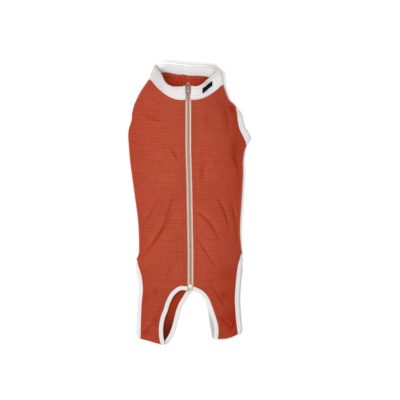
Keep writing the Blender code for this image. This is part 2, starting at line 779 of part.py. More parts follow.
def zip_stations(side):
    """Tape stations from the collar's top to its tail: zip edge, cloth edge, hidden edge and normal."""
    half = halves[side]
    sign = SIDES[side]
    first, second = (0, 1) if side == "left" else (len(ring) - 1, len(ring) - 2)
    centre = zip_x(0.0)
    found = []
    for share, split in ((1.0, 0.0020), (SPLIT_SHARE, 0.0015), (SLIDER_SHARE, TAPE_SPLIT), (1 / 3, TAPE_SPLIT)):
        edge = collar_line(first, share)
        hidden = collar_line(second, share)
        near = np.array([centre + sign * split, edge[1], edge[2]])
        drop = SLOPE_NORMAL * UNDER_COLLAR
        found.append((near - drop, edge - drop, hidden - drop, SLOPE_NORMAL, "collar"))
    for row in range(0, ZIP_ROW + 1):
        edge = points[half.top[row, 0]]
        hidden = points[half.top[row, 1]]
        near = np.array([zip_x(-edge[1] / BODY_LENGTH) + sign * TAPE_SPLIT, edge[1], edge[2]])
        normal = surface_normals[half.top[row, 0]].copy()
        normal[0] = 0.0
        normal /= np.linalg.norm(normal)
        depth = UNDER_COLLAR if row == 0 else UNDER_CLOTH
        if row == ZIP_ROW:
            depth = UNDER_BINDING
        drop = normal * depth
        found.append((near - drop, edge - drop, hidden - drop, normal, "body"))
    near, edge, hidden, normal, _ = found[-1]
    tail = np.array([0.0, -0.0055, -0.0006])
    start, after = points[half.top[ZIP_ROW, 0]], points[half.top[ZIP_ROW + 1, 0]]
    beside = start + (after - start) * TAPE_UNDER / np.linalg.norm(after - start)
    beside = beside - np.array([0.0, 0.0, UNDER_BINDING])
    found.append((near + tail, edge + tail, beside + tail, np.array([0.0, 0.0, 1.0]), "tail"))
    return found


def zip_box_station(side, back):
    """The tape's zip edge this far toward the neck from the zip's end."""
    here, before = zip_stations(side)[-2], zip_stations(side)[-3]
    t = back / np.linalg.norm(before[0] - here[0])
    return here[0] * (1 - t) + before[0] * t, here[3] * (1 - t) + before[3] * t


for side, sign in SIDES.items():
    rings = []
    for near, edge, hidden, normal, _ in zip_stations(side):
        up = normal * TAPE_THICK / 2
        rings.append([near - up, edge - up, hidden - up, hidden + up, edge + up, near + up])
    strip("zip_tape_" + side, rings, "tape")
    rings = []
    chain_stations = zip_stations(side)[2:-2]
    line = [(s[0], s[3]) for s in chain_stations]
    line.append(zip_box_station(side, 0.0040))
    for near, normal in line:
        x = near[0] - sign * (TAPE_SPLIT - 0.00015)
        base = np.array([x, near[1], near[2]])
        profile = ((0.0, 0.7), (2.65, 0.7), (2.65, 1.9), (1.9, 2.7), (0.0, 2.7))
        rings.append([base + ACROSS * sign * a / 1000 + normal * b / 1000 for a, b in profile])
    strip("zip_teeth_" + side, rings, "chain", 0.45)


def cells(name, lines_x, lines_y, empty, z0, z1, frame, colour, metallic=1.0):
    """A plate of cells between crossing lines, some left empty. lines_x holds a row of x for each y."""
    origin, ex, ey, ez = frame
    rows, cols = len(lines_y), len(lines_x[0])
    vertices = []
    for z in (z0, z1):
        for y, xs in zip(lines_y, lines_x):
            vertices.extend(origin + ex * x + ey * y + ez * z for x in xs)
    full = {(r, c) for r in range(rows - 1) for c in range(cols - 1)} - set(empty)
    level = rows * cols
    faces = []
    for r, c in full:
        a, b = r * cols + c, r * cols + c + 1
        d, e = a + cols, b + cols
        faces.append((a + level, b + level, e + level, d + level))
        faces.append((a, d, e, b))
        for near, p, q in (((r - 1, c), a, b), ((r + 1, c), e, d), ((r, c - 1), d, a), ((r, c + 1), b, e)):
            if near not in full:
                faces.append((p, q, q + level, p + level))
    used = sorted({v for face in faces for v in face})
    number = {v: k for k, v in enumerate(used)}
    faces = [tuple(number[v] for v in face) for face in faces]
    return new_object(name, [vertices[v] for v in used], faces, colour, 0.35, metallic)


def join(body, helper):
    """Adds a helper shape to a body and hides the helper."""
    union = body.modifiers.new("add_" + helper.name, "BOOLEAN")
    union.operation = "UNION"
    union.solver = "EXACT"
    union.object = helper
    helper.hide_render = True
    helper.display_type = "WIRE"


def block(name, x0, x1, y0, y1, z0, z1, frame, colour="metal"):
    return cells(name, [(x0, x1), (x0, x1)], (y0, y1), (), z0, z1, frame, colour)


left_line = zip_stations("left")[2]
slider_origin = np.array([zip_x(0.0), left_line[0][1], left_line[0][2]])
slider_frame = (slider_origin, ACROSS, SLOPE, SLOPE_NORMAL)
MM = 0.001
top_rows = ((-6.4, 2.6), (-4.6, 4.0), (0.0, 4.3), (3.4, 4.7), (5.4, 3.9), (6.3, 2.2))
slider = cells(
    "zip_slider",
    [(-w * MM, w * MM) for _, w in top_rows],
    [y * MM for y, _ in top_rows],
    (),
    3.0 * MM,
    4.0 * MM,
    slider_frame,
    "metal",
)
low_rows = ((-6.0, 2.2), (-4.4, 3.5), (3.4, 4.0), (5.4, 3.4), (6.1, 2.0))
under = cells(
    "slider_under",
    [(-w * MM, w * MM) for _, w in low_rows],
    [y * MM for y, _ in low_rows],
    (),
    -1.5 * MM,
    -0.7 * MM,
    slider_frame,
    "metal",
)
post = block("slider_post", -1.0 * MM, 1.0 * MM, 4.2 * MM, 5.9 * MM, -1.4 * MM, 3.6 * MM, slider_frame)
flange_a = block("slider_flange_a", -3.9 * MM, -3.1 * MM, -3.7 * MM, 3.0 * MM, 0.7 * MM, 3.5 * MM, slider_frame)
flange_b = block("slider_flange_b", 3.1 * MM, 3.9 * MM, -3.7 * MM, 3.0 * MM, 0.7 * MM, 3.5 * MM, slider_frame)
# The bridge is drawn in the slider's side plane
side_frame = (slider_origin, SLOPE, SLOPE_NORMAL, ACROSS)
bridge = cells(
    "slider_bridge",
    [(-2.3 * MM, -1.0 * MM, 2.4 * MM, 3.7 * MM)] * 2 + [(-1.7 * MM, -0.7 * MM, 2.1 * MM, 3.1 * MM)],
    (3.7 * MM, 6.2 * MM, 7.2 * MM),
    ((0, 1),),
    -1.1 * MM,
    1.1 * MM,
    side_frame,
    "metal",
)
for helper in (under, post, flange_a, flange_b, bridge):
    join(slider, helper)

# The pull hangs in the bridge and lies along the collar's slope
PULL_PIVOT = slider_origin + SLOPE * 0.7 * MM + SLOPE_NORMAL * 5.05 * MM
pull_frame = (PULL_PIVOT, ACROSS, SLOPE, SLOPE_NORMAL)
pull_rows = (
    (-0.65, 2.6, 1.5),
    (0.65, 2.7, 1.5),
    (4.8, 2.7, 1.5),
    (8.6, 2.4, 1.4),
    (10.0, 2.7, 1.5),
    (15.6, 2.9, 1.6),
    (17.4, 2.8, 1.5),
    (18.4, 1.9, 1.0),
)
cells(
    "zip_pull",
    [(-w * MM, -n * MM, n * MM, w * MM) for _, w, n in pull_rows],
    [y * MM for y, _, _ in pull_rows],
    ((1, 1), (4, 1)),
    -0.6 * MM,
    0.6 * MM,
    pull_frame,
    "metal",
)

# Top stops, box at the zip's end
for side, sign in SIDES.items():
    near = slider_origin + SLOPE * (0.955 - SLIDER_SHARE) * COLLAR_WIDTH
    frame_here = (near + ACROSS * sign * 3.6 * MM, ACROSS, SLOPE, SLOPE_NORMAL)
    block("zip_stop_" + side, -0.8 * MM, 0.8 * MM, -1.1 * MM, 1.1 * MM, 0.7 * MM, 2.6 * MM, frame_here)
end_point, end_normal = zip_box_station("left", 0.0)
end_point = np.array([zip_x(ZIP_END_ALONG), end_point[1], end_point[2]])
end_normal = end_normal / np.linalg.norm(end_normal)
end_along = np.cross(end_normal, ACROSS)
end_frame = (end_point, ACROSS, end_along, end_normal)
box_rows = ((-3.5, 2.4), (-2.6, 3.0), (2.6, 3.0), (3.5, 2.6))
cells(
    "zip_bottom_box",
    [(-w * MM, w * MM) for _, w in box_rows],
    [y * MM for y, _ in box_rows],
    (),
    0.9 * MM,
    3.5 * MM,
    end_frame,
    "metal",
    0.3,
)

# The tag, sewn on the right front of the collar: out, then its lower and upper share of the collar
TAG_ENDS = ((0.224, 0.37, 0.66), (0.298, 0.45, 0.66), (0.372, 0.46, 0.635))


def collar_at_x(x, share):
    """A point of the right front of the collar at this x, and its normal."""
    last = len(ring) - 1
    found = [(collar_line(k, share), k) for k in range(last, last - COLUMNS - 1, -1)]
    for (a, i), (b, j) in zip(found, found[1:]):
        if a[0] <= x <= b[0]:
            t = (x - a[0]) / (b[0] - a[0])
            up = collar_line(i, share + 0.05) - collar_line(i, share - 0.05)
            normal = np.cross(b - a, up)
            return a * (1 - t) + b * t, normal / np.linalg.norm(normal)
    return found[0][0], SLOPE_NORMAL


rings = []
for out in np.linspace(TAG_ENDS[0][0], TAG_ENDS[-1][0], 4):
    x = out * HALF_CHEST
    low, normal = collar_at_x(x, at(TAG_ENDS, out, 1))
    high, _ = collar_at_x(x, at(TAG_ENDS, out, 2))
    bottom = COLLAR_THICK / 2 + SEAM_GAP + 0.0008
    top = bottom + 0.0006
    rings.append([low + normal * bottom, high + normal * bottom, high + normal * top, low + normal * top])
strip("neck_tag", rings, "black", 0.7)

# The origin goes to the middle of the footprint, on the floor
every = np.array([v.co[:] for obj in bpy.data.objects if not obj.hide_render for v in obj.data.vertices])
middle = (every.min(axis=0) + every.max(axis=0)) / 2
shift = np.array([middle[0], middle[1], 0.0])
for obj in bpy.data.objects:
    for v in obj.data.vertices:
        v.co = [v.co[k] - shift[k] for k in range(3)]
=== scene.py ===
# %% [markdown]
# # A pet recovery suit, lying flat
# The suit is a rib knit tube with a zip along the back. It lies on its belly side, so every cloth
# piece here is a thin sheet that follows one shared middle surface. The frame gives the solids and
# their places, and this lesson dresses them with knit, bindings, stitches and a zip.

import math

import bpy
import numpy as np
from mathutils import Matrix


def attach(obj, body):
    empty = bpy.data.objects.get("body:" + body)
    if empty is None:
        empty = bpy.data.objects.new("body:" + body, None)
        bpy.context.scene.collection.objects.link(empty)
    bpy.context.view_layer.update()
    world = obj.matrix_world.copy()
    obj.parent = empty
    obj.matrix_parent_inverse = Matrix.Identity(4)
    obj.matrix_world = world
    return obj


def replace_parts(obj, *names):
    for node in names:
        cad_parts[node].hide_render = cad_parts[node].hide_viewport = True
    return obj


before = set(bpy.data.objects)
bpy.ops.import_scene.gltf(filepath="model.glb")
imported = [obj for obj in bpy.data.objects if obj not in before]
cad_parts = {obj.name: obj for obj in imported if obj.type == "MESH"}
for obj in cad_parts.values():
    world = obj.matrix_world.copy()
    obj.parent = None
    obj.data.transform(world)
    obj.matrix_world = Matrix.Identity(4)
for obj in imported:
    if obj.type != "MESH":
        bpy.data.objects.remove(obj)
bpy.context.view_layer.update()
bpy.ops.object.select_all(action="DESELECT")

# %% [markdown]
# The photograph looks straight down from far away, so a long lens high above the floor gives the
# same flat view. The picture covers 0.76 m, with the suit a little left of its middle.

# %% Camera
VIEW_WIDTH = 0.760
VIEW_MIDDLE = (0.0229, 0.0056)
CAMERA_HEIGHT = 9.0
SENSOR = 36.0

bpy.ops.object.camera_add(location=(*VIEW_MIDDLE, CAMERA_HEIGHT), rotation=(0.0, 0.0, 0.0))
camera = bpy.context.object
camera.name = "overhead_camera"
camera.data.sensor_width = SENSOR
camera.data.lens = SENSOR * CAMERA_HEIGHT / VIEW_WIDTH
bpy.context.scene.camera = camera
bpy.context.scene.view_settings.view_transform = "Standard"
print("lens %.0f mm" % camera.data.lens)

# %% [markdown]
# The light is a window on the left and a wide soft ceiling, and white surroundings fill the
# shadows. The suit lies on a plain pale floor.

# %% Floor and light
FLOOR_SIZE = 8.0
ROOM_COLOUR = (1.0, 0.99, 0.985, 1.0)
ROOM_STRENGTH = 0.56
# name, place, size, power and colour
LIGHTS = (
    ("window_left", (-1.20, 0.10, 1.60), 1.2, 20.5, (1.0, 0.99, 0.98)),
    ("ceiling", (0.10, -0.35, 3.0), 3.0, 33.0, (1.0, 1.0, 1.0)),
)

bpy.ops.mesh.primitive_plane_add(size=FLOOR_SIZE, location=(0.0, 0.0, 0.0))
floor = bpy.context.object
floor.name = "pale_floor"

for name, place, size, power, colour in LIGHTS:
    bpy.ops.object.light_add(type="AREA", location=place)
    light = bpy.context.object
    light.name = name
    light.data.size = size
    light.data.energy = power
    light.data.color = colour
    east, north, up = (-part for part in place)
    turn = math.atan2(north, east) - math.pi / 2
    light.rotation_euler = (math.atan2(math.hypot(east, north), -up), 0.0, turn)

world = bpy.data.worlds.new("white_room")
world.use_nodes = True
room = world.node_tree.nodes["Background"].inputs
room["Color"].default_value = ROOM_COLOUR
room["Strength"].default_value = ROOM_STRENGTH
bpy.context.scene.world = world
print("lights", [row[0] for row in LIGHTS])

# %% [markdown]
# A procedural finish is a small network of nodes. These helpers keep each network short: one adds a
# node, one makes a sum or product, one turns a length on the cloth into a repeating wave.


# %% Helpers for finishes
class Finish:
    """A material, its shader and short ways to add nodes."""

    def __init__(self, name, colour, rough, metal=0.0):
        self.material = bpy.data.materials.new(name)
        self.material.use_nodes = True
        self.tree = self.material.node_tree
        self.shader = self.tree.nodes["Principled BSDF"]
        self.set({"Base Color": (*colour, 1.0), "Roughness": rough, "Metallic": metal})

    def set(self, levels):
        """Plain levels on the shader's own sockets."""
        for name, level in levels.items():
            self.shader.inputs[name].default_value = level

    def feed(self, socket, value):
        """Links a node's output to a socket, or sets a plain value on it."""
        if hasattr(value, "is_output"):
            self.tree.links.new(value, socket)
        else:
            socket.default_value = value

    def node(self, kind, **sockets):
        made = self.tree.nodes.new(kind)
        for name, value in sockets.items():
            self.feed(made.inputs[name], value)
        return made

    def maths(self, operation, *values):
        made = self.tree.nodes.new("ShaderNodeMath")
        made.operation = operation
        for socket, value in zip(made.inputs, values):
            self.feed(socket, value)
        return made.outputs[0]

    def times(self, value, factor, plus=0.0):
        """The value times a factor, plus another value."""
        return self.maths("MULTIPLY_ADD", value, factor, plus)

    def cloth_place(self):
        """The piece's own map of the cloth, and its two lengths in metres."""
        place = self.node("ShaderNodeUVMap")
        place.uv_map = "cloth"
        apart = self.node("ShaderNodeSeparateXYZ", Vector=place.outputs[0])
        return place.outputs[0], apart.outputs[0], apart.outputs[1]

    def attribute(self, name):
        """A number that each point of the piece carries."""
        made = self.node("ShaderNodeAttribute")
        made.attribute_name = name
        return made.outputs["Fac"]

    def wave(self, length, pitch):
        """1 on a crest and 0 in a groove, once each pitch."""
        turn = self.times(length, 2 * math.pi / pitch)
        return self.times(self.maths("COSINE", turn), 0.5, 0.5)

    def line(self, length, where, width):
        """1 on a thin line at this distance and 0 away from it."""
        away = self.maths("ABSOLUTE", self.maths("SUBTRACT", length, where))
        return self.ramp(away, width, width * 0.3)

    def ramp(self, value, start, end):
        """0 at the start and 1 at the end, with a soft change."""
        made = self.node("ShaderNodeMapRange", Value=value)
        made.interpolation_type = "SMOOTHSTEP"
        low, high = min(start, end), max(start, end)
        levels = (low, high, float(start > end), float(start < end))
        for name, level in zip(("From Min", "From Max", "To Min", "To Max"), levels):
            made.inputs[name].default_value = level
        return made.outputs[0]

    def noise(self, scale, detail=2.0, vector=None):
        if vector is None:
            vector = self.node("ShaderNodeTexCoord").outputs["Object"]
        return self.node("ShaderNodeTexNoise", Vector=vector, Scale=scale, Detail=detail).outputs[0]

    def mix(self, share, a, b):
        """Colour a where the share is 0 and colour b where it is 1."""
        made = self.tree.nodes.new("ShaderNodeMix")
        made.data_type = "RGBA"
        for socket, value in zip((made.inputs[k] for k in (0, 6, 7)), (share, a, b)):
            self.feed(socket, (*value, 1.0) if isinstance(value, tuple) else value)
        return made.outputs[2]

    def colour(self, value):
        self.feed(self.shader.inputs["Base Color"], value)

    def bump(self, height, distance, strength=1.0):
        made = self.node("ShaderNodeBump", Height=height, Distance=distance, Strength=strength)
        self.feed(self.shader.inputs["Normal"], made.outputs[0])


def darker(colour, share):
    return tuple(share * c for c in colour)


# %% [markdown]
# The body is a rust rib knit. Its ribs run round the suit, uneven and streaky, and painted shade
# deepens its colour in folds and at its sides. The reverse is plainer, painted redder for light
# bounced between the layers, and painted darker with shade where it shows in a strap.

# %% Rust rib knit
RUST = (0.430, 0.072, 0.033)
RUST_CREST = (0.490, 0.088, 0.042)
RUST_GROOVE = (0.310, 0.039, 0.017)
# the reverse's own rust, painted redder for light bounced between the two layers
RUST_REVERSE = (0.560, 0.047, 0.013)
# the deep rust that painted shade mixes toward
RUST_PAINTED_SHADE = (0.290, 0.018, 0.003)
RUST_SHADE_IN_STRAP = (0.300, 0.024, 0.004)
RUST_SHADE_AT_STRAP_END = (0.085, 0.003, 0.001)
RIB_PITCH = 0.004
RIB_DEPTH = 0.00028
LOOP_PITCH = 0.0011
TAPE_UNDER = 0.007
SEAM_LINE = 0.0009
# where along the suit the reverse shows in a strap and gets painted shade, and where that shade is
# darkest
SHADE_IN_STRAP = (0.345, 0.365)
SHADE_AT_STRAP_END = (0.390, 0.455)
# added to a place across the cloth, it marks the reverse
REVERSE = 1.0
# how a noise is stretched across and along the cloth, and how strong it is
STREAKS = (((16.0, 300.0, 1.0), 0.75), ((260.0, 45.0, 1.0), 0.45), ((330.0, 420.0, 1.0), 1.1))


def rib_knit_finish():
    """Rust rib knit: uneven ribs, painted shade in folds, and a plain colour inside with painted
    bounce light.
    """
    finish = Finish("rust_rib_knit", RUST, 0.93)
    place, across, along = finish.cloth_place()
    inside = finish.maths("GREATER_THAN", across, REVERSE / 2)
    rib = finish.wave(along, RIB_PITCH)
    strength = finish.times(finish.noise(30.0), 1.7, -0.30)
    ribs = finish.times(finish.times(rib, 1.0, -0.5), strength)
    lit = finish.times(ribs, 1.05, 0.45)
    for stretch, amount in STREAKS:
        stretched = finish.node("ShaderNodeMapping", Vector=place, Scale=stretch).outputs[0]
        streak = finish.times(finish.noise(1.0, 3.0, stretched), amount, -amount / 2)
        lit = finish.maths("ADD", lit, streak)
    lit = finish.maths("ADD", lit, finish.times(finish.noise(13.0, 3.0), 0.45, -0.225))
    face = finish.mix(lit, RUST_GROOVE, RUST_CREST)
    seam = finish.line(across, TAPE_UNDER, SEAM_LINE)
    face = finish.mix(finish.times(seam, 0.35), face, RUST_GROOVE)
    mottled = finish.times(finish.noise(240.0, 3.0), 2.6, -1.05)
    reverse = finish.mix(mottled, RUST_REVERSE, darker(RUST_REVERSE, 0.55))
    # painted shade on the reverse inside the straps, under the upper layer, darkest toward the
    # strap's end
    reverse = finish.mix(finish.ramp(along, *SHADE_IN_STRAP), reverse, RUST_SHADE_IN_STRAP)
    reverse = finish.mix(finish.ramp(along, *SHADE_AT_STRAP_END), reverse, RUST_SHADE_AT_STRAP_END)
    face = finish.mix(inside, face, reverse)
    # painted shade: the fold attribute mixes the colour toward deep rust in creases, hollows,
    # corners, sides and straps
    finish.colour(finish.mix(finish.attribute("fold"), face, RUST_PAINTED_SHADE))
    height = finish.times(finish.wave(across, LOOP_PITCH), 0.18, rib)
    height = finish.times(height, finish.maths("SUBTRACT", 1.0, inside))
    height = finish.times(seam, -1.5, height)
    finish.bump(finish.times(finish.noise(1400.0, 3.0), 0.35, height), 0.00030, 0.7)
    finish.set({"Sheen Weight": 0.06, "Sheen Roughness": 0.5, "Specular IOR Level": 0.15})
    return finish.material


# %% [markdown]
# The neck band and the bindings are a fine white knit. Rows of stitches pull the band in along thin
# sunk lines, greyed with painted shade, which fade in and out as they do on worn cloth.

# %% White knit
WHITE = (0.740, 0.722, 0.724)
# brighter than the binding white: painted light for the collar's back, which leans away from the
# light above
COLLAR_WHITE_PAINTED_LIGHT = (0.950, 0.950, 0.955)
# the grey that painted shade mixes toward
WHITE_PAINTED_SHADE = (0.465, 0.432, 0.440)
WALE_PITCH = 0.0012
# lines along the collar, as distance from the neck seam and width
COLLAR_LINES = ((0.0026, 0.0009), (0.0095, 0.0010), (0.0158, 0.0010), (0.0225, 0.0012))


def white_knit_finish(name, white, lines):
    """White knit with fine wales and thin sunk lines where stitches pull it in, greyed there with
    painted shade.
    """
    finish = Finish(name, white, 0.88)
    _, length, across = finish.cloth_place()
    wale = finish.wave(length, WALE_PITCH)
    lit = finish.times(wale, 0.25, 0.45)
    lit = finish.maths("ADD", lit, finish.times(finish.noise(26.0), 0.5, -0.15))
    sunk_and_shaded = 0.0
    for where, wide in lines:
        sunk_and_shaded = finish.maths("MAXIMUM", sunk_and_shaded, finish.line(across, where, wide))
    sunk_and_shaded = finish.times(sunk_and_shaded, finish.ramp(length, 0.020, 0.060))
    sunk_and_shaded = finish.times(sunk_and_shaded, finish.ramp(finish.noise(14.0, 1.0), 0.36, 0.60))
    face = finish.mix(lit, darker(white, 0.84), white)
    # painted shade: the fold attribute and the sunk lines mix the white toward grey
    face = finish.mix(finish.attribute("fold"), face, WHITE_PAINTED_SHADE)
    finish.colour(finish.mix(finish.times(sunk_and_shaded, 0.5), face, WHITE_PAINTED_SHADE))
    height = finish.times(sunk_and_shaded, -1.0, wale)
    finish.bump(finish.times(finish.noise(1500.0), 0.4, height), 0.00020, 0.6)
    finish.set({"Sheen Weight": 0.1, "Specular IOR Level": 0.2})
    return finish.material


# %% [markdown]
# The zip has four finishes: a tape woven in fine cords, a moulded taupe coil, brown cast metal with
# a painted highlight on top and painted shade on its sides, and a grey moulded box. The tag is bare
# black tape.

# %% Zip and tag finishes
TAPE_BEIGE = (0.850, 0.672, 0.575)
TAPE_SHADE = (0.740, 0.575, 0.465)
CHAIN_TAUPE = (0.480, 0.345, 0.265)
METAL = (0.450, 0.315, 0.250)
# painted highlight and painted shade on the cast metal
METAL_PAINTED_HIGHLIGHT = (0.960, 0.850, 0.800)
METAL_PAINTED_SHADE = (0.110, 0.070, 0.060)
STOP_DARK = (0.030, 0.024, 0.024)
BOX_GREY = (0.720, 0.690, 0.670)
TAG_BLACK = (0.004, 0.004, 0.0045)
TAG_LIGHT = (0.012, 0.012, 0.013)
CORD_PITCH = 0.00075
WEFT_PITCH = 0.0006
TAG_CORDS = 0.0007
TAG_WEFT = 0.0005
GRAIN_DEPTH = 0.00003


def tape_finish():
    """Beige zip tape, woven in fine cords along the zip."""
    finish = Finish("beige_zip_tape", TAPE_BEIGE, 0.8)
    _, across, along = finish.cloth_place()
    cords = finish.wave(across, CORD_PITCH)
    weft = finish.wave(along, WEFT_PITCH)
    lit = finish.times(cords, 0.5, finish.times(weft, 0.3))
    finish.colour(finish.mix(lit, TAPE_SHADE, TAPE_BEIGE))
    finish.bump(finish.times(weft, 0.4, cords), 0.00012, 0.7)
    return finish.material


def grained(finish, scale, vary, low):
    """A faint grain in the gloss and the surface of a moulded or cast piece."""
    grain = finish.noise(scale)
    finish.feed(finish.shader.inputs["Roughness"], finish.times(grain, vary, low))
    finish.bump(grain, GRAIN_DEPTH, 0.4)
    return grain


def plain_finish(name, colour, rough, metal=0.0):
    """A smooth moulded or polished surface."""
    finish = Finish(name, colour, rough, metal)
    grain = grained(finish, 700.0, 0.12, rough - 0.06)
    finish.colour(finish.mix(grain, darker(colour, 0.86), colour))
    return finish.material


def cast_metal_painted_light_finish():
    """Cast brown metal, with a painted highlight on its highest places and painted shade where it
    faces away from up.
    """
    finish = Finish("cast_metal_painted_light", METAL, 0.3, 0.85)
    normal = finish.node("ShaderNodeNewGeometry").outputs["Normal"]
    painted_top_light = finish.ramp(finish.node("ShaderNodeSeparateXYZ", Vector=normal).outputs[2], 0.35, 0.85)
    face = finish.mix(finish.attribute("high"), METAL, METAL_PAINTED_HIGHLIGHT)
    finish.colour(finish.mix(painted_top_light, METAL_PAINTED_SHADE, face))
    grained(finish, 900.0, 0.16, 0.20)
    return finish.material


def tag_finish():
    """Woven black tape, left bare."""
    finish = Finish("black_woven_tag", TAG_BLACK, 0.95)
    finish.set({"Specular IOR Level": 0.08})
    _, length, across = finish.cloth_place()
    weave = finish.times(finish.wave(length, TAG_CORDS), finish.wave(across, TAG_WEFT))
    finish.colour(finish.mix(weave, TAG_BLACK, TAG_LIGHT))
    finish.bump(weave, 0.0001, 0.6)
    return finish.material


# %% [markdown]
# Each finish is made once and shared by all pieces of that kind. The floor is nearly white, with a
# speckle too faint to see, so that it is a finish too and not one flat colour.

# %% Make the finishes
FLOOR_TONES = ((0.95, 0.95, 0.95), (0.965, 0.965, 0.965))

finishes = {
    "rib_knit": rib_knit_finish(),
    "white_knit": white_knit_finish("white_binding_knit", WHITE, ()),
    "collar_knit": white_knit_finish("white_collar_knit", COLLAR_WHITE_PAINTED_LIGHT, COLLAR_LINES),
    "zip_tape": tape_finish(),
    "zip_chain": plain_finish("taupe_coil", CHAIN_TAUPE, 0.45),
    "zip_metal": cast_metal_painted_light_finish(),
    "zip_stop": plain_finish("dark_metal", STOP_DARK, 0.45, 0.4),
    "zip_box": plain_finish("grey_box", BOX_GREY, 0.4, 0.3),
    "black_tag": tag_finish(),
}
floor_finish = Finish("white_floor", FLOOR_TONES[0], 0.9)
floor_finish.colour(floor_finish.mix(floor_finish.noise(60.0), *FLOOR_TONES))
floor.data.materials.append(floor_finish.material)
print("finishes", len(finishes))

# %% [markdown]
# The suit's pattern is read from short tables. "Along" is a share of the body's length from the
# neck seam at the zip to the lowest strap end, and "out" is a share of half the chest. A reader
# would measure the same things on the real suit with a tape.

# %% Sizes of the suit
BODY_LENGTH = 0.466
HALF_CHEST = 0.1155
LOFT = 0.016
CLOTH = 0.0015
BINDING_WIDTH = 0.008
BINDING_THICK = 0.0022
COLLAR_WIDTH = 0.0285
COLLAR_THICK = 0.003
ZIP_OPENING = 0.011
TAPE_THICK = 0.0008
ARM_HOLE_DEPTH = 0.038
ARM_HOLE_HALF_WIDTH = 0.021
ARM_HOLE_INSET = 0.026
LOWER_PEEK = {"left": 0.0006, "right": 0.0018}
PINCH = 0.52
SUIT_SHIFT = np.array([0.0019848, 0.19646365, 0.0])
SIGN = {"left": -1.0, "right": 1.0}

# mark, rows of the solid up to it, fine rows up to it
SPANS = (
    ("arm_top", 3, 54), ("arm_bottom", 8, 72), ("leg_top", 9, 226), ("zip_end", 3, 52),
    ("fold", 10, 106),
)
COLUMNS = 42
UNDER_COLUMNS = 3
EDGE_STEPS = 6
# how far each step of a binding is from its seam, and how thick it is there
EDGE_SHARES = np.array([0.0, 0.10, 0.32, 0.56, 0.78, 0.93, 1.0])
EDGE_FULLNESS = np.array([0.86, 1.06, 1.0, 1.0, 0.96, 0.74, 0.34])
BINDING_STEPS = BINDING_WIDTH * EDGE_SHARES
UP = np.array([0.0, 0.0, 1.0])
print("body %.0f mm long, chest %.0f mm round" % (1000 * BODY_LENGTH, 4000 * HALF_CHEST))

# %% [markdown]
# The outline of each half is a list of points, with the marks where holes begin and end. The arch
# between the straps has its own points, on the upper layer and on the belly layer.

# %% Outlines
# mark, along, out
LEFT_OUTLINE = (
    ("neck", -0.084, 0.655), ("", -0.031, 0.799), ("arm_top", 0.020, 0.900), ("", 0.052, 0.934),
    ("", 0.085, 0.946), ("", 0.119, 0.989), ("", 0.150, 1.000), ("arm_bottom", 0.195, 0.989),
    ("", 0.266, 0.962), ("", 0.394, 0.891), ("", 0.500, 0.836), ("", 0.590, 0.821),
    ("", 0.627, 0.827), ("leg_top", 0.653, 0.867), ("", 0.685, 0.821), ("zip_end", 0.716, 0.781),
    ("", 0.752, 0.760), ("", 0.783, 0.757), ("", 0.830, 0.776), ("", 0.888, 0.786),
    ("fold", 0.975, 0.797),
)
RIGHT_OUTLINE = (
    ("neck", -0.059, 0.567), ("", -0.038, 0.592), ("", 0.002, 0.658), ("", 0.016, 0.724),
    ("arm_top", 0.034, 0.786), ("", 0.067, 0.794), ("", 0.093, 0.806), ("", 0.121, 0.831),
    ("", 0.142, 0.872), ("", 0.167, 0.921), ("arm_bottom", 0.184, 0.952), ("", 0.205, 0.921),
    ("", 0.227, 0.901), ("", 0.254, 0.888), ("", 0.304, 0.888), ("", 0.382, 0.872),
    ("", 0.500, 0.8405), ("", 0.558, 0.8405), ("", 0.613, 0.864), ("leg_top", 0.628, 0.877),
    ("", 0.658, 0.824), ("", 0.685, 0.798), ("zip_end", 0.724, 0.778), ("", 0.771, 0.7615),
    ("", 0.818, 0.753), ("", 0.857, 0.7615), ("", 0.896, 0.773), ("fold", 0.956, 0.801),
)
TOP_ARCH = {
    "left": (
        (0.760, 0.143), (0.773, 0.2385), (0.794, 0.316), (0.826, 0.380), (0.857, 0.419),
        (0.888, 0.4655), (0.927, 0.493), (0.966, 0.490), (1.000, 0.4655),
    ),
    "right": (
        (0.771, 0.171), (0.785, 0.250), (0.810, 0.329), (0.849, 0.391), (0.884, 0.439),
        (0.919, 0.479), (0.9465, 0.487), (0.976, 0.479),
    ),
}
BELLY_ARCH = {
    "left": (
        (0.779, 0.033), (0.802, 0.095), (0.829, 0.160), (0.857, 0.206), (0.888, 0.2385),
        (0.919, 0.270), (0.951, 0.316), (0.978, 0.380), (0.998, 0.452),
    ),
    "right": (
        (0.767, 0.132), (0.779, 0.222), (0.8005, 0.304), (0.827, 0.355), (0.864, 0.378),
        (0.900, 0.401), (0.933, 0.424), (0.962, 0.444), (0.977, 0.4655),
    ),
}
ZIP_LINE = ((-0.2, -0.013), (0.2, -0.013), (0.37, 0.006), (0.62, 0.023), (1.0, 0.023))
BELLY_LINE = ((-0.103, -0.094), (0.3, -0.03), (0.764, 0.049))
BELLY_END_ALONG = 0.764
# along the zip and along the belly line, at the marks
INNER_MARKS = (
    (0.0, -0.103), (0.045, 0.0), (0.175, 0.155), (0.655, 0.655), (0.761, BELLY_END_ALONG),
)
print("outline points", len(LEFT_OUTLINE), len(RIGHT_OUTLINE))

# %% [markdown]
# A lying tube isn't flat: it is highest at the zip and thin at its sides, and the neck band leans
# away from the neck by a different amount all round. These tables hold heights and leans.

# %% Heights and leans
# row of the solid, sag of the upper row on the left and right, sag of the lower row likewise
ROW_BOW = (
    (0, 0.025, 0.017, -0.0237, -0.0196), (3, 0.010, 0.008, -0.005, -0.005),
    (11, 0.0, 0.0, 0.0, 0.0), (23, 0.0, 0.0, 0.0, 0.0), (33, 0.0, 0.007, 0.0, 0.007),
)
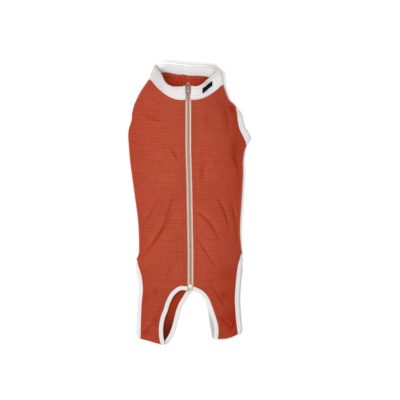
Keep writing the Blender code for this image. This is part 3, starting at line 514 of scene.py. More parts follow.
# along, height at the zip, puff between, height at the side, in shares of LOFT
HEIGHTS = (
    (-0.10, 0.72, 0.05, 0.62), (0.00, 0.78, 0.10, 0.46), (0.05, 0.90, 0.14, 0.34),
    (0.12, 1.00, 0.20, 0.33), (0.20, 1.00, 0.22, 0.36), (0.35, 0.95, 0.25, 0.50),
    (0.52, 0.85, 0.25, 0.48), (0.65, 0.75, 0.25, 0.33), (0.70, 0.64, 0.22, 0.29),
    (0.76, 0.52, 0.20, 0.28), (0.82, 0.36, 0.18, 0.28), (0.90, 0.33, 0.14, 0.28),
    (1.00, 0.32, 0.05, 0.28),
)
# share round the neck, then the way the collar stands: right, up, rise
COLLAR_LEAN = (
    (0.000, 0.00, 0.86, 0.51), (0.037, 0.01, 0.85, 0.53), (0.078, 0.05, 0.74, 0.67),
    (0.110, 0.13, 0.66, 0.74), (0.135, 0.16, 0.63, 0.76), (0.159, 0.20, 0.67, 0.71),
    (0.183, 0.27, 0.78, 0.56), (0.217, 0.33, 0.89, 0.32), (0.250, 0.35, 0.92, 0.18),
    (0.280, 0.36, 0.93, 0.13), (0.300, 0.28, 0.95, 0.13), (0.317, 0.20, 0.94, 0.27),
    (0.341, 0.16, 0.83, 0.53), (0.382, 0.11, 0.67, 0.73), (0.440, 0.06, 0.69, 0.72),
    (0.500, 0.02, 0.69, 0.72), (0.600, -0.03, 0.69, 0.72), (0.640, -0.05, 0.73, 0.68),
    (0.683, -0.06, 0.86, 0.50), (0.720, -0.02, 0.98, 0.17), (0.742, -0.05, 0.98, 0.19),
    (0.781, -0.21, 0.96, 0.19), (0.820, -0.30, 0.93, 0.21), (0.862, -0.31, 0.92, 0.24),
    (0.900, -0.22, 0.87, 0.44), (0.940, -0.12, 0.84, 0.53), (1.000, 0.00, 0.86, 0.51),
)
# share round the neck, and how much painted shade greys the white there
COLLAR_PAINTED_SHADE = (
    (0.00, 0.32), (0.12, 0.38), (0.19, 0.72), (0.26, 0.66), (0.30, 0.22), (0.33, 0.00),
    (0.60, 0.00), (0.66, 0.12), (0.76, 0.30), (0.88, 0.32), (1.00, 0.32),
)
# the outer rim of the collar gets a little painted shade all round
RIM_PAINTED_SHADE = 0.20
print("collar leans", len(COLLAR_LEAN))

# %% [markdown]
# Cloth that has been worn and laid down is never flat. Each line of this table is one soft crease
# seen on the suit: a path over the upper layer, how wide the valley is and how deep. A low ridge
# beside the valley catches the light, as a real fold does.

# %% Creases
# side, width, depth, then the path as (along, out)
CREASES = (
    ("left", 0.0042, 0.0019, ((0.195, 0.310), (0.226, 0.235), (0.250, 0.175))),
    ("left", 0.0062, 0.0014, ((0.378, 0.247), (0.460, 0.340), (0.550, 0.493), (0.652, 0.780))),
    ("left", 0.0050, 0.0012, ((0.455, 0.260), (0.520, 0.400), (0.590, 0.600))),
    ("left", 0.0055, 0.0008, ((0.400, 0.500), (0.470, 0.640), (0.520, 0.790))),
    ("left", 0.0045, 0.0010, ((0.655, 0.280), (0.700, 0.330), (0.745, 0.400))),
    ("left", 0.0050, 0.0007, ((0.760, 0.610), (0.780, 0.560), (0.815, 0.520))),
    ("left", 0.0050, 0.0010, ((0.900, 0.560), (0.925, 0.640), (0.955, 0.760))),
    ("left", 0.0060, 0.0009, ((0.055, 0.780), (0.080, 0.600), (0.090, 0.420))),
    ("right", 0.0052, 0.0018, ((0.455, 0.070), (0.475, 0.220), (0.517, 0.378), (0.586, 0.518))),
    ("right", 0.0042, 0.0019, ((0.400, 0.470), (0.456, 0.576), (0.530, 0.660))),
    ("right", 0.0042, 0.0021, ((0.420, 0.690), (0.470, 0.740), (0.537, 0.773), (0.590, 0.780))),
    ("right", 0.0045, 0.0016, ((0.560, 0.130), (0.620, 0.270), (0.690, 0.450))),
    ("right", 0.0048, 0.0021, ((0.235, 0.745), (0.275, 0.800), (0.325, 0.815))),
    ("right", 0.0045, 0.0008, ((0.270, 0.214), (0.335, 0.230))),
    ("right", 0.0062, 0.0026,
     ((-0.030, 0.605), (-0.004, 0.650), (0.025, 0.695), (0.057, 0.750), (0.100, 0.795))),
    ("right", 0.0055, 0.0009, ((0.020, 0.560), (0.080, 0.620), (0.160, 0.640))),
    ("right", 0.0045, 0.0017, ((0.875, 0.800), (0.912, 0.745), (0.952, 0.650))),
    ("right", 0.0045, 0.0014, ((0.885, 0.520), (0.912, 0.610), (0.940, 0.740))),
    ("right", 0.0050, 0.0009, ((0.740, 0.330), (0.800, 0.470), (0.850, 0.620))),
)
# side, along, out, half length, half width and depth of a shallow hollow
HOLLOWS = (
    ("left", 0.193, 0.345, 0.008, 0.012, 0.0007), ("left", 0.300, 0.120, 0.020, 0.004, 0.0005),
    ("left", 0.060, 0.560, 0.012, 0.016, 0.0005), ("left", 0.785, 0.543, 0.006, 0.007, 0.0008),
    ("left", 0.809, 0.690, 0.007, 0.010, 0.0009), ("left", 0.899, 0.526, 0.010, 0.007, 0.0010),
    ("left", 0.952, 0.690, 0.006, 0.012, 0.0009), ("right", 0.279, 0.230, 0.024, 0.005, 0.0009),
    ("right", 0.091, 0.290, 0.016, 0.006, 0.0008), ("right", 0.050, 0.630, 0.022, 0.011, 0.0010),
    ("right", 0.226, 0.760, 0.022, 0.007, 0.0011), ("right", 0.530, 0.850, 0.026, 0.007, 0.0009),
    ("right", 0.711, 0.640, 0.010, 0.014, 0.0009), ("right", 0.190, 0.750, 0.018, 0.009, 0.0012),
    ("right", 0.801, 0.560, 0.009, 0.010, 0.0013), ("right", 0.895, 0.640, 0.014, 0.012, 0.0011),
)
# how strong the painted shade is inside the neck's corners: strength, steepness to the side, rows
# it takes
PAINTED_NECK_CORNER_SHADE = {"left": (0.7, 2.0, 1.5), "right": (24.0, 5.0, 3.0)}
# how much painted shade there is beside the edge, on the strap and all over
PAINTED_EDGE_SHADE = {"left": (0.36, 0.26, 0.02), "right": (0.38, 0.46, 0.12)}
print("creases", len(CREASES), "hollows", len(HOLLOWS))

# %% [markdown]
# The cloth is laid out in rows across the suit, from the neck to the strap's end. The solids have
# few rows and the cloth has many, so each fine row knows its place among the rows of the solid.

# %% Rows of the cloth
ROW_OF = {"neck": 0}
SOLID_ROW = [0.0]
for mark, coarse, fine in SPANS:
    ROW_OF[mark] = list(ROW_OF.values())[-1] + fine
    SOLID_ROW.extend(SOLID_ROW[-1] + coarse * np.arange(1, fine + 1) / fine)
SOLID_ROW = np.array(SOLID_ROW)
LAST = ROW_OF["fold"]
ZIP_ROW = ROW_OF["zip_end"]
ARM_FIRST, ARM_LAST = ROW_OF["arm_top"], ROW_OF["arm_bottom"]
# rows of the solid where the front-leg hole begins and ends, and where the strap begins
ARM_ROWS = (3.0, 11.0)
ARM_SHUT = 0.375
LEG_ROW = 20.0
print("rows of cloth", LAST + 1)


def row_at(solid_row):
    """The first fine row at or after a row of the solid."""
    return int(np.searchsorted(SOLID_ROW, solid_row))


# %% [markdown]
# Smooth curves through a few measured points are better than long lists of points: a Catmull-Rom
# curve passes through every one of them. The rows of the cloth are then spaced evenly along it.


# %% Curve helpers
def read(table, where, column=1):
    """A column of a table read smoothly at values of its first column."""
    xs = np.array([row[0] for row in table], float)
    ys = np.array([row[column] for row in table], float)
    slope = np.gradient(ys, xs)
    where = np.clip(np.asarray(where, float), xs[0], xs[-1])
    k = np.clip(np.searchsorted(xs, where, side="right") - 1, 0, len(xs) - 2)
    h = xs[k + 1] - xs[k]
    t = (where - xs[k]) / h
    a = ys[k] * (1 + 2 * t) + slope[k] * h * t
    b = ys[k + 1] * (3 - 2 * t) + slope[k + 1] * h * (t - 1)
    return a * (1 - t) ** 2 + b * t**2


def step_up(x, start, end):
    """0 before start and 1 after end, with a soft change between."""
    t = np.clip((np.asarray(x, float) - start) / (end - start), 0.0, 1.0)
    return t * t * (3 - 2 * t)


def run_along(line):
    """The length of a line of points up to each of them."""
    return np.r_[0.0, np.cumsum(np.linalg.norm(np.diff(line, axis=0), axis=1))]


def points_at(line, run, wanted):
    """Points of a line at the wanted lengths."""
    return np.stack([np.interp(wanted, run, column) for column in line.T], axis=1)


def unit(ways):
    return ways / np.linalg.norm(ways, axis=-1, keepdims=True)


def to_left(ways):
    """Each direction in plan turned a quarter to its left."""
    return np.stack([-ways[:, 1], ways[:, 0]], axis=1)


def smooth_line(points, steps=40):
    points = np.array(points, float)
    padded = np.vstack([2 * points[0] - points[1], points, 2 * points[-1] - points[-2]])
    t = (np.arange(steps) / steps)[:, None]
    found = []
    for k in range(len(points) - 1):
        a, b, c, d = padded[k : k + 4]
        cubic = (3 * b - a - 3 * c + d) * t + (2 * a - 5 * b + 4 * c - d)
        found.append(b + 0.5 * (cubic * t + (c - a)) * t)
    return np.vstack([*found, points[-1:]])


def evenly(points, count):
    run = run_along(points)
    return points_at(points, run, np.linspace(0.0, run[-1], count + 1))


# %% [markdown]
# The tables become lines on the floor plan, in metres. Rows of both layers start at the zip or at
# the belly seam and end at the side.


# %% Lines of the pattern
def place(along, x_share):
    return np.array([x_share * HALF_CHEST, -along * BODY_LENGTH])


def plan_normals(line, toward, smooth=5):
    """Unit normals of a plan line on the side of a direction, evened out over a few rows."""
    normal = to_left(np.gradient(line, axis=0))
    if normal[len(normal) // 2] @ np.array(toward) < 0:
        normal = -normal
    padded = np.vstack([normal[:1]] * smooth + [normal] + [normal[-1:]] * smooth)
    return unit(sum(padded[k : k + len(line)] for k in range(2 * smooth + 1)))


def line_x(line, along):
    return np.interp(along, *zip(*line)) * HALF_CHEST


def inner_rows(column):
    """Where each row starts along the zip (0) or along the belly line (1), up to the zip's end."""
    marks = [row[column] for row in INNER_MARKS]
    found = [marks[:1]]
    for start, end, (_, _, fine) in zip(marks, marks[1:], SPANS):
        found.append(np.linspace(start, end, fine + 1)[1:])
    return np.concatenate(found)


def outline_rows(table, sign):
    marks = [k for k, row in enumerate(table) if row[0]]
    rows = []
    for (first, last), (_, _, fine) in zip(zip(marks, marks[1:]), SPANS):
        piece = [place(row[1], sign * row[2]) for row in table[first : last + 1]]
        rows.append(evenly(smooth_line(piece), fine)[1 if rows else 0 :])
    return np.vstack(rows)


# %% [markdown]
# Creases and hollows move the upper layer down. A few slow waves make the rest of it uneven, and
# the ribs are level lines of a length that droops near the neck, as stretched knit does.

# %% Creases, hollows and waves
# height, length in x and in y, and start of each slow wave
SOFT_WAVES = (
    (0.00042, 0.017, 0.031, 0.6), (0.00036, -0.023, 0.019, 2.1),
    (0.00024, 0.0088, -0.0131, 4.0), (0.00015, 0.0061, 0.0097, 1.3),
)
RIB_WAVES = (
    (0.0012, 0.031, math.inf, 0.4), (0.0009, 0.013, 0.05, 0.0), (0.0006, 0.0061, -0.017, 1.0),
)


def waves(table, x, y):
    return sum(high * np.sin(x / wide + y / long + start) for high, wide, long, start in table)


def crease_depth(side, x, y):
    """How far the creases move the upper layer down, at plan points in metres."""
    total = np.zeros_like(x)
    sign = SIGN[side]
    for which, width, depth, path in CREASES:
        if which != side:
            continue
        line = smooth_line([place(a, sign * o) for a, o in path], 8)
        nearest = np.full(x.shape, 9.0)
        signed, share = np.zeros_like(x), np.zeros_like(x)
        for k, (a, run) in enumerate(zip(line, np.diff(line, axis=0))):
            t = np.clip(((x - a[0]) * run[0] + (y - a[1]) * run[1]) / (run @ run), 0.0, 1.0)
            dx, dy = x - a[0] - t * run[0], y - a[1] - t * run[1]
            away = np.hypot(dx, dy)
            closer = away < nearest
            nearest = np.where(closer, away, nearest)
            signed = np.where(closer, np.sign(run[0] * dy - run[1] * dx) * away * sign, signed)
            share = np.where(closer, (k + t) / (len(line) - 1), share)
        fade = np.sin(np.pi * np.clip(share, 0.02, 0.98)) ** 0.6
        valley = np.exp(-((nearest / (0.38 * width)) ** 1.3))
        ridge = 0.35 * np.exp(-(((signed - 1.1 * width) / (0.7 * width)) ** 2))
        total += depth * fade * (valley - ridge)
    return total


def hollow_depth(side, x, y):
    """How far the shallow hollows move the upper layer down."""
    total = np.zeros_like(x)
    for which, along, out, long, wide, depth in HOLLOWS:
        if which == side:
            east, north = place(along, SIGN[side] * out)
            total += depth * np.exp(-(((y - north) / long) ** 2) - ((x - east) / wide) ** 2)
    return total


def rib_place(x, y):
    """Distance along the cloth in metres: the ribs are its level lines, and they droop."""
    droop = 0.0055 * np.abs(x / 0.09) ** 1.3 * np.exp(-((y / 0.085) ** 2))
    shoulder = 0.006 * np.exp(-(((x - 0.085) / 0.022) ** 2) - (((y + 0.035) / 0.03) ** 2))
    return -y + waves(RIB_WAVES, x, y) + droop - shoulder


# %% [markdown]
# All cloth pieces share one middle surface, kept as one long list of points. A piece is a set of
# four-cornered faces over those points, so two neighbours meet on exactly the same seam line.

# %% The shared middle surface
surface = {"points": [], "cloth": [], "fold": []}
patches = {}


def every(kind):
    return np.concatenate(surface[kind])


def add_points(points, across=None, along=None, fold=0.0):
    """Adds points, with their place on the cloth and how much painted shade they carry."""
    points = np.asarray(points, float)
    flat = points.reshape(-1, 3)
    first = sum(len(block) for block in surface["points"])
    across = np.zeros(len(flat)) if across is None else np.asarray(across, float).ravel()
    along = -flat[:, 1] if along is None else np.asarray(along, float).ravel()
    surface["points"].append(flat)
    surface["cloth"].append(np.stack([across, along], axis=1))
    surface["fold"].append(np.broadcast_to(fold, points.shape[:-1]).ravel())
    return np.arange(first, first + len(flat)).reshape(points.shape[:-1])


def grid_faces(numbers, flip):
    """Faces between the rows and columns of a grid of point numbers."""
    a, b = numbers[:-1, :-1], numbers[:-1, 1:]
    c, d = numbers[1:, 1:], numbers[1:, :-1]
    faces = np.stack([a, b, c, d], axis=-1).reshape(-1, 4)
    return faces[:, ::-1] if flip else faces


def add_patch(name, numbers, flip):
    patches.setdefault(name, []).append(grid_faces(numbers, flip))


# %% [markdown]
# Each half starts with its side: where the cloth ends row by row, how thick the lying tube is
# there, and where the edge opens into a strap or, on the right, into the front-leg hole.


# %% Sides of the halves
STRAP_TAPER = 0.45
# the right front-leg hole: how much wider its binding is, and how far its edge sinks
ARM_WIDER = 0.32
ARM_SINK = 0.0019


class Half:
    """One half of the suit, from the zip round the side to the belly seam."""

    def __init__(self, side):
        self.side, self.sign, self.flip = side, SIGN[side], side == "right"
        self.outline = outline_rows(RIGHT_OUTLINE if self.flip else LEFT_OUTLINE, self.sign)
        self.out = plan_normals(self.outline, (self.sign, 0.0))
        rows = SOLID_ROW
        self.cloth_turn = 1.0 - step_up(rows, LEG_ROW, LEG_ROW + 1)
        self.opened = step_up(rows, LEG_ROW + 1, LEG_ROW + 2)
        self.bump = np.zeros_like(rows)
        self.band = BINDING_WIDTH * (1 - STRAP_TAPER * step_up(rows, rows[-1] - 1.1, rows[-1]) ** 2)
        pinch = np.exp(-(((rows - LEG_ROW - 0.1) / 0.9) ** 2))
        if side == "right":
            first, last = ARM_ROWS
            gone = step_up(rows, first, first + 1) * (1 - step_up(rows, last - 0.6, last))
            self.cloth_turn = self.cloth_turn * (1 - gone)
            closing = step_up(rows, last - 1.0, last - ARM_SHUT)
            self.opened += step_up(rows, first + 1, first + 2) * (1 - closing)
            inside = np.clip((rows - first - 1) / (last - first - 2), 0.0, 1.0)
            self.bump = np.sin(np.pi * inside)
            wider = step_up(rows, 4.5, 9.0) * (1 - step_up(rows, 10.6, 11.2))
            self.band = self.band * (1 + ARM_WIDER * wider)
            pinch += np.exp(-(((rows - first) / 0.9) ** 2)) + np.exp(-(((rows - last) / 0.8) ** 2))
        along = -self.outline[:, 1] / BODY_LENGTH
        self.edge_z = read(HEIGHTS, along, 3) * LOFT - ARM_SINK * self.bump**4
        self.edge_z = self.edge_z * (1 - PINCH * pinch)
        self.radius = (self.edge_z - CLOTH / 2) / 2
        inset = (self.radius + CLOTH / 2) * self.cloth_turn
        self.edge = self.outline - self.out * inset[:, None]

    def inner_line(self, along, x, arch):
        """The inner end of every row: along the zip or the belly seam, then round the arch."""
        inner = np.stack([x, -along * BODY_LENGTH], axis=1)
        arch = [inner[-1]] + [place(a, self.sign * o) for a, o in arch[self.side]]
        arch = evenly(smooth_line(arch), LAST - ZIP_ROW)
        return np.vstack([inner, arch[1:]]), arch

    def sag(self, column):
        return (read(ROW_BOW, SOLID_ROW, column + self.flip) * BODY_LENGTH)[:, None]


# %% [markdown]
# The upper layer is a grid from the zip and the arch to the side. Its height comes from the tables,
# and creases, hollows and waves are taken off it. A point that lies deep gets painted shade in its
# colour, and so do the side, the strap and the whole right half.

# %% Upper layer
# crease and hollow depths at which their painted shade is full
CREASE_FULL = 0.0021
HOLLOW_FULL = 0.0036
PUCKER = 0.00022
PUCKER_LENGTH = 0.0021


def upper_height(along, s):
    crown, puff, edge = (read(HEIGHTS, along, column) * LOFT for column in (1, 2, 3))
    return edge + (crown - edge) * (1.0 - s**2.2) + puff * np.sin(np.pi * s)


def strap_end_drop(z):
    """How far the last rows move back, so that the fold at the strap's end keeps its place."""
    end = step_up(SOLID_ROW, SOLID_ROW[-1] - 0.35, SOLID_ROW[-1])[:, None]
    return end * ((z - CLOTH / 2) / 2 + CLOTH / 2)


def lay_upper(half):
    along_zip = inner_rows(0)
    zip_edge = line_x(ZIP_LINE, along_zip) + half.sign * ZIP_OPENING / 2
    inner, half.arch = half.inner_line(along_zip, zip_edge, TOP_ARCH)
    width = np.linalg.norm(half.edge - inner, axis=1)
    near = np.linspace(0.0, 1.0, UNDER_COLUMNS + 1)[None, :] * (TAPE_UNDER / width)[:, None]
    rest = np.linspace(0.0, 1.0, COLUMNS - UNDER_COLUMNS + 1)[None, 1:]
    s = np.hstack([near, near[:, -1:] + rest * (1 - near[:, -1:])])
    xy = inner[:, None, :] + (half.edge - inner)[:, None, :] * s[:, :, None]
    x, y = xy[:, :, 0], xy[:, :, 1]
    y = y - half.sag(1) * 4 * s * (1 - s)
    along = -y / BODY_LENGTH
    z = upper_height(along, s)
    z = z + (half.edge_z[:, None] - read(HEIGHTS, along, 3) * LOFT) * s**2.2
    inside = np.clip(9 * (1 - s), 0, 1) * np.clip(9 * s, 0, 1)
    quiet = 1.0 - 0.7 * step_up(along, 0.76, 0.86)
    dip = crease_depth(half.side, x, y)
    hollow = hollow_depth(half.side, x, y)
    z = z + (waves(SOFT_WAVES, x, y) * quiet - dip - hollow) * inside
    edge_painted_shade, strap_painted_shade, painted_shade = PAINTED_EDGE_SHADE[half.side]
    # fold is painted shade: deep in creases and hollows, and more beside the edge, on the strap and
    # all over
    fold = np.clip(dip / CREASE_FULL, -0.25, 0.85) + np.clip(hollow / HOLLOW_FULL, 0.0, 0.4)
    fold = fold * inside + edge_painted_shade * s**2.5 + strap_painted_shade * step_up(along, 0.62, 0.92) + painted_shade
    beside = s * width[:, None]
    pucker = np.sin(y / PUCKER_LENGTH + half.sign) * np.exp(-((beside - 0.004) / 0.006) ** 2)
    z = z + PUCKER * pucker * np.clip(9 * s, 0, 1) * (along < 0.72)
    y = y + strap_end_drop(z)
    half.top = add_points(np.stack([x, y, z], axis=2), beside, rib_place(x, y), fold)


# %% [markdown]
# The lower layer lies flat on the floor. On the left the front-leg hole is a bound slit in it, so
# its columns part round the slit and a second line of points closes the other side.

# %% Lower layer
# the lower layer's map starts here, so that it never falls on the seam line's place
BELLY_MAP = 0.25
SLIT_COLUMN = COLUMNS - 3
SLIT_BLEND = 30


def slit_columns(width):
    """Shares across the left lower layer that part round the slit, and its outer side."""
    rows = np.arange(LAST + 1)
    before = step_up(rows, ARM_FIRST - SLIT_BLEND, ARM_FIRST)
    near_hole = before * (1 - step_up(rows, ARM_LAST, ARM_LAST + SLIT_BLEND))
    middle = 1.0 - ARM_HOLE_INSET / width
    middle = near_hole * middle + (1 - near_hole) * (1 - 3 / COLUMNS)
    u = np.clip(2.0 * (rows - ARM_FIRST) / (ARM_LAST - ARM_FIRST) - 1.0, -1.0, 1.0)
    half = ARM_HOLE_HALF_WIDTH * np.sqrt(1.0 - u * u) / width
    inner = np.linspace(0.0, 1.0, SLIT_COLUMN + 1)[None, :] * (middle - half)[:, None]
    outer = (middle + half)[:, None]
    outer_part = outer + np.linspace(0.0, 1.0, 4)[None, :] * (1 - outer)
    return np.hstack([inner, outer_part[:, 1:]]), outer_part[:, 0]


def lay_lower(half, belly):
    along_belly = inner_rows(1)
    seam_x = line_x(BELLY_LINE, along_belly)
    inner, half.belly_arch = half.inner_line(along_belly, seam_x, BELLY_ARCH)
    peek = LOWER_PEEK[half.side] * step_up(SOLID_ROW, LEG_ROW + 1, LEG_ROW + 2)
    edge = half.edge + half.out * peek[:, None]
    edge[:, 0] -= half.sign * ARM_HOLE_DEPTH * half.bump
    half.low_edge = edge
    width = np.linalg.norm(edge - inner, axis=1)
    s = np.repeat(np.linspace(0.0, 1.0, COLUMNS + 1)[None, :], LAST + 1, axis=0)
    if half.side == "left":
        s, slit_share = slit_columns(width)
    xy = inner[:, None, :] + (edge - inner)[:, None, :] * s[:, :, None]
    x, y = xy[:, :, 0], xy[:, :, 1]
    near_neck = np.clip(1 - SOLID_ROW / 6, 0, 1)[:, None]
    y = y - half.sag(3) * s * (1 - s) * (6.75 * s * near_neck + 4 * (1 - near_neck))
    y = y + strap_end_drop(every("points")[half.top][:, :, 2])
    strength, power, fade = PAINTED_NECK_CORNER_SHADE[half.side]
    # painted shade in the neck's inner corners, on the lower layer
    painted_corner_shade = np.minimum(strength * s**power * np.exp(-SOLID_ROW / fade)[:, None], 0.9)
    beside = BELLY_MAP - s * width[:, None]
    points = np.stack([x, y, np.full_like(x, CLOTH / 2)], axis=2)
    half.low = add_points(points, beside, rib_place(x, y), painted_corner_shade)
    half.low[: ZIP_ROW + 1, 0] = belly
    if half.side == "left":
        hole = slice(ARM_FIRST + 1, ARM_LAST)
        extra = inner + (edge - inner) * slit_share[:, None]
        points = np.c_[extra, np.full(LAST + 1, CLOTH / 2)][hole]
        half.slit = half.low[:, SLIT_COLUMN].copy()
        half.slit[hole] = add_points(points, BELLY_MAP - slit_share[hole] * width[hole])


# %% [markdown]
# The strip round the side is cloth where the tube is shut, and binding where it is open. Between
# the two it is blended row by row, so the binding grows out of the fold without a step.

# %% Sides and bindings
DROOP = 0.0004
SHUT_REACH = 0.62


def turn_side(half):
    """The strip that carries each row round the side, as cloth, shut binding or open binding."""
    points = every("points")
    upper, lower = points[half.top[:, -1]], points[half.low[:, -1]]
    out = np.c_[half.out, np.zeros(LAST + 1)]
    low_out = out.copy()
    if half.side == "right":
        hole = slice(ARM_FIRST, ARM_LAST + 1)
        low_out[hole, :2] = plan_normals(half.low_edge[hole], (half.sign, 0.0))
    reach = half.radius * half.cloth_turn + SHUT_REACH * half.band * (1 - half.cloth_turn)
    angles = np.radians(90.0 - 90.0 / EDGE_STEPS * np.arange(EDGE_STEPS + 1))
    shut, shut_low, flat, flat_low = [], [], [], []
    for share, angle in zip(EDGE_SHARES, angles):
        side_way = out * (reach * math.cos(angle))[:, None]
        rise = UP * (half.radius * (math.sin(angle) - 1.0))[:, None]
        shut.append(upper + side_way + rise)
        shut_low.append(lower + side_way - rise)
        run = (half.band * share)[:, None]
        flat.append(upper + out * run - UP * DROOP * share**2)
        flat_low.append(lower + low_out * np.minimum(run, BINDING_WIDTH * share))
    opened = np.clip(half.opened, 0.0, 1.0)[:, None, None]
    high = np.stack(shut, 1) * (1 - opened) + np.stack(flat, 1) * opened
    deep = np.stack(shut_low, 1) * (1 - opened) + np.stack(flat_low, 1) * opened
    across = np.broadcast_to(BINDING_STEPS, high.shape[:2])
    along = np.broadcast_to(run_along(half.outline)[:, None], high.shape[:2])
    half.high = add_points(high, along, across)
    half.deep = add_points(deep, along, across)
    half.shut_rows = half.opened <= 0.0
    points = every("points")
    upper, lower = half.high[half.shut_rows, -1], half.deep[half.shut_rows, -1]
    points[upper] = (points[upper] + points[lower]) / 2
    surface["points"] = [points]
    half.deep[half.shut_rows, -1] = upper
    half.high[:, 0], half.deep[:, 0] = half.top[:, -1], half.low[:, -1]


# %% [markdown]
# The arch between the straps has a binding on each layer. The two start together at its top, turn
# with it, and end square across the strap.


# %% Arch binding
LOWER_MAP = 0.3
# how much painted shade the lower strip gets toward the strap's end, and where it starts and is
# full
ARCH_PAINTED_SHADE = {"left": (0.5, 0.80, 1.0), "right": (0.9, 0.45, 0.75)}


def bind_arch(half, apex):
    """The strip on the edge between the straps, on both layers."""
    away = -half.sign
    points = every("points")
    upper, lower = points[half.top[ZIP_ROW:, 0]], points[half.low[ZIP_ROW:, 0]]
    count = len(upper)
    rows = np.arange(count)
    turn = step_up(rows, 0, 10)[:, None]
    last = step_up(rows, count - 12, count - 1)[:, None]
    ways = []
    for arch in (half.arch, half.belly_arch):
        way = plan_normals(arch, (away, -1.0), 3) * turn + np.array([0.0, -1.0]) * (1 - turn)
        way = way * (1 - last) + np.array([away, 0.0]) * last
        ways.append(np.c_[unit(way), np.zeros(count)][:, None, :])
    run = BINDING_STEPS[None, :, None]
    high = upper[:, None, :] + ways[0] * run - UP * DROOP * (EDGE_SHARES**2)[None, :, None]
    deep = lower[:, None, :] + ways[1] * run
    along = np.broadcast_to(run_along(half.arch)[:, None], high.shape[:2])
    across = np.broadcast_to(BINDING_STEPS, high.shape[:2])
    painted_shade, start, end = ARCH_PAINTED_SHADE[half.side]
    # painted shade on the lower strip, where the upper strip shades it
    painted_arch_shade = painted_shade * step_up(rows, start * count, end * count)[:, None]
    half.arch_high = add_points(high, along, across)
    half.arch_deep = add_points(deep, along + LOWER_MAP, across, painted_arch_shade)
    half.arch_high[:, 0] = half.top[ZIP_ROW:, 0]
    half.arch_deep[:, 0] = half.low[ZIP_ROW:, 0]
    half.arch_deep[0, 1:] = apex


# %% [markdown]
# Now the grids are shared out: rows where the tube is shut give their strip to the body, and rows
# beside a hole or a strap give it to a binding.


# %% Share out the grids
def share_out(half):
    body, leg, flip = "body_" + half.side, "leg_binding_" + half.side, half.flip
    ring = np.hstack([half.high, half.deep[:, -2::-1]])
    leg_start, shut_end = row_at(LEG_ROW), row_at(LEG_ROW + 1)
    low = half.low[:, ::-1]
    add_patch(body, half.top, flip)
    if half.side == "left":
        cut = COLUMNS - SLIT_COLUMN
        outer = np.c_[low[:, :cut], half.slit]
        parts = [(body, outer), (body, low[:, cut:])]
    else:
        parts = [(body, low)]
    parts += [
        (leg, ring[leg_start : shut_end + 1]), (leg, half.high[shut_end:]),
        (leg, half.deep[shut_end:, ::-1]),
    ]
    if half.side == "left":
        parts += [(body, ring[: leg_start + 1])]
    else:
        start, end = row_at(ARM_ROWS[0] + 1), row_at(ARM_ROWS[1] - ARM_SHUT)
        arm = "arm_binding_right"
        parts += [
            (body, ring[: ARM_FIRST + 1]), (arm, ring[ARM_FIRST : start + 1]),
            (arm, half.high[start : end + 1]), (arm, half.deep[start : end + 1, ::-1]),
            (arm, ring[end : ARM_LAST + 1]), (body, ring[ARM_LAST : leg_start + 1]),
        ]
    parts += [("tail_binding", half.arch_high[:, ::-1]), ("tail_binding", half.arch_deep)]
    for name, numbers in parts:
        add_patch(name, numbers, flip)


# %% [markdown]
# At its end a strap is folded, so both layers and both bindings run round half a turn there. The
# left front-leg hole is a slit, so its binding is a closed ring inside it.


# %% Strap ends and the slit's binding
def fold_strap_end(half):
    """The fold at the strap's end, which joins both layers."""
    upper = np.r_[half.arch_high[-1, :0:-1], half.top[-1], half.high[-1, 1:]]
    lower = np.r_[half.arch_deep[-1, :0:-1], half.low[-1], half.deep[-1, 1:]]
    points, cloth = every("points"), every("cloth")
    high, deep = points[upper], points[lower]
    radius = (high[:, 2] - deep[:, 2]) / 2
    rows = [upper]
    for angle in np.radians((60, 30, 0, -30, -60)):
        share = (1 - math.sin(angle)) / 2
        xy = high[:, :2] * (1 - share) + deep[:, :2] * share
        xy[:, 1] -= radius * math.cos(angle)
        z = (high[:, 2] + deep[:, 2]) / 2 + radius * math.sin(angle)
        turned = cloth[upper, 1] + radius * (math.pi / 2 - angle)
        rows.append(add_points(np.c_[xy, z], cloth[upper, 0], turned))
    rows = np.array([*rows, lower])
    inner, outer = EDGE_STEPS, EDGE_STEPS + COLUMNS
    add_patch("tail_binding", rows[:, : inner + 1], half.flip)
    add_patch("body_" + half.side, rows[:, inner : outer + 1], half.flip)
    add_patch("leg_binding_" + half.side, rows[:, outer:], half.flip)


def bind_slit(half):
    """The ring of binding inside the left front-leg hole, under the suit."""
    near = half.low[ARM_FIRST : ARM_LAST + 1, SLIT_COLUMN]
    loop = np.r_[near, half.slit[ARM_LAST - 1 : ARM_FIRST : -1]]
    plan = every("points")[loop][:, :2]
    normal = unit(to_left(np.roll(plan, -1, axis=0) - np.roll(plan, 1, axis=0)))
    if (plan.mean(axis=0) - plan[0]) @ normal[0] < 0:
        normal = -normal
    length = run_along(plan)
    rings = [loop]
    for step in BINDING_STEPS[1:]:
        ring = np.c_[plan + normal * step, np.full(len(plan), CLOTH / 2)]
        rings.append(add_points(ring, length, np.full(len(plan), step)))
    half.slit_rings = np.array(rings)
    add_patch("arm_binding_left", np.c_[half.slit_rings, half.slit_rings[:, :1]].T, True)


# %% [markdown]
# The belly seam is laid first, because both halves share its points. Then each half gets its grids
# in the order in which one hangs on another.

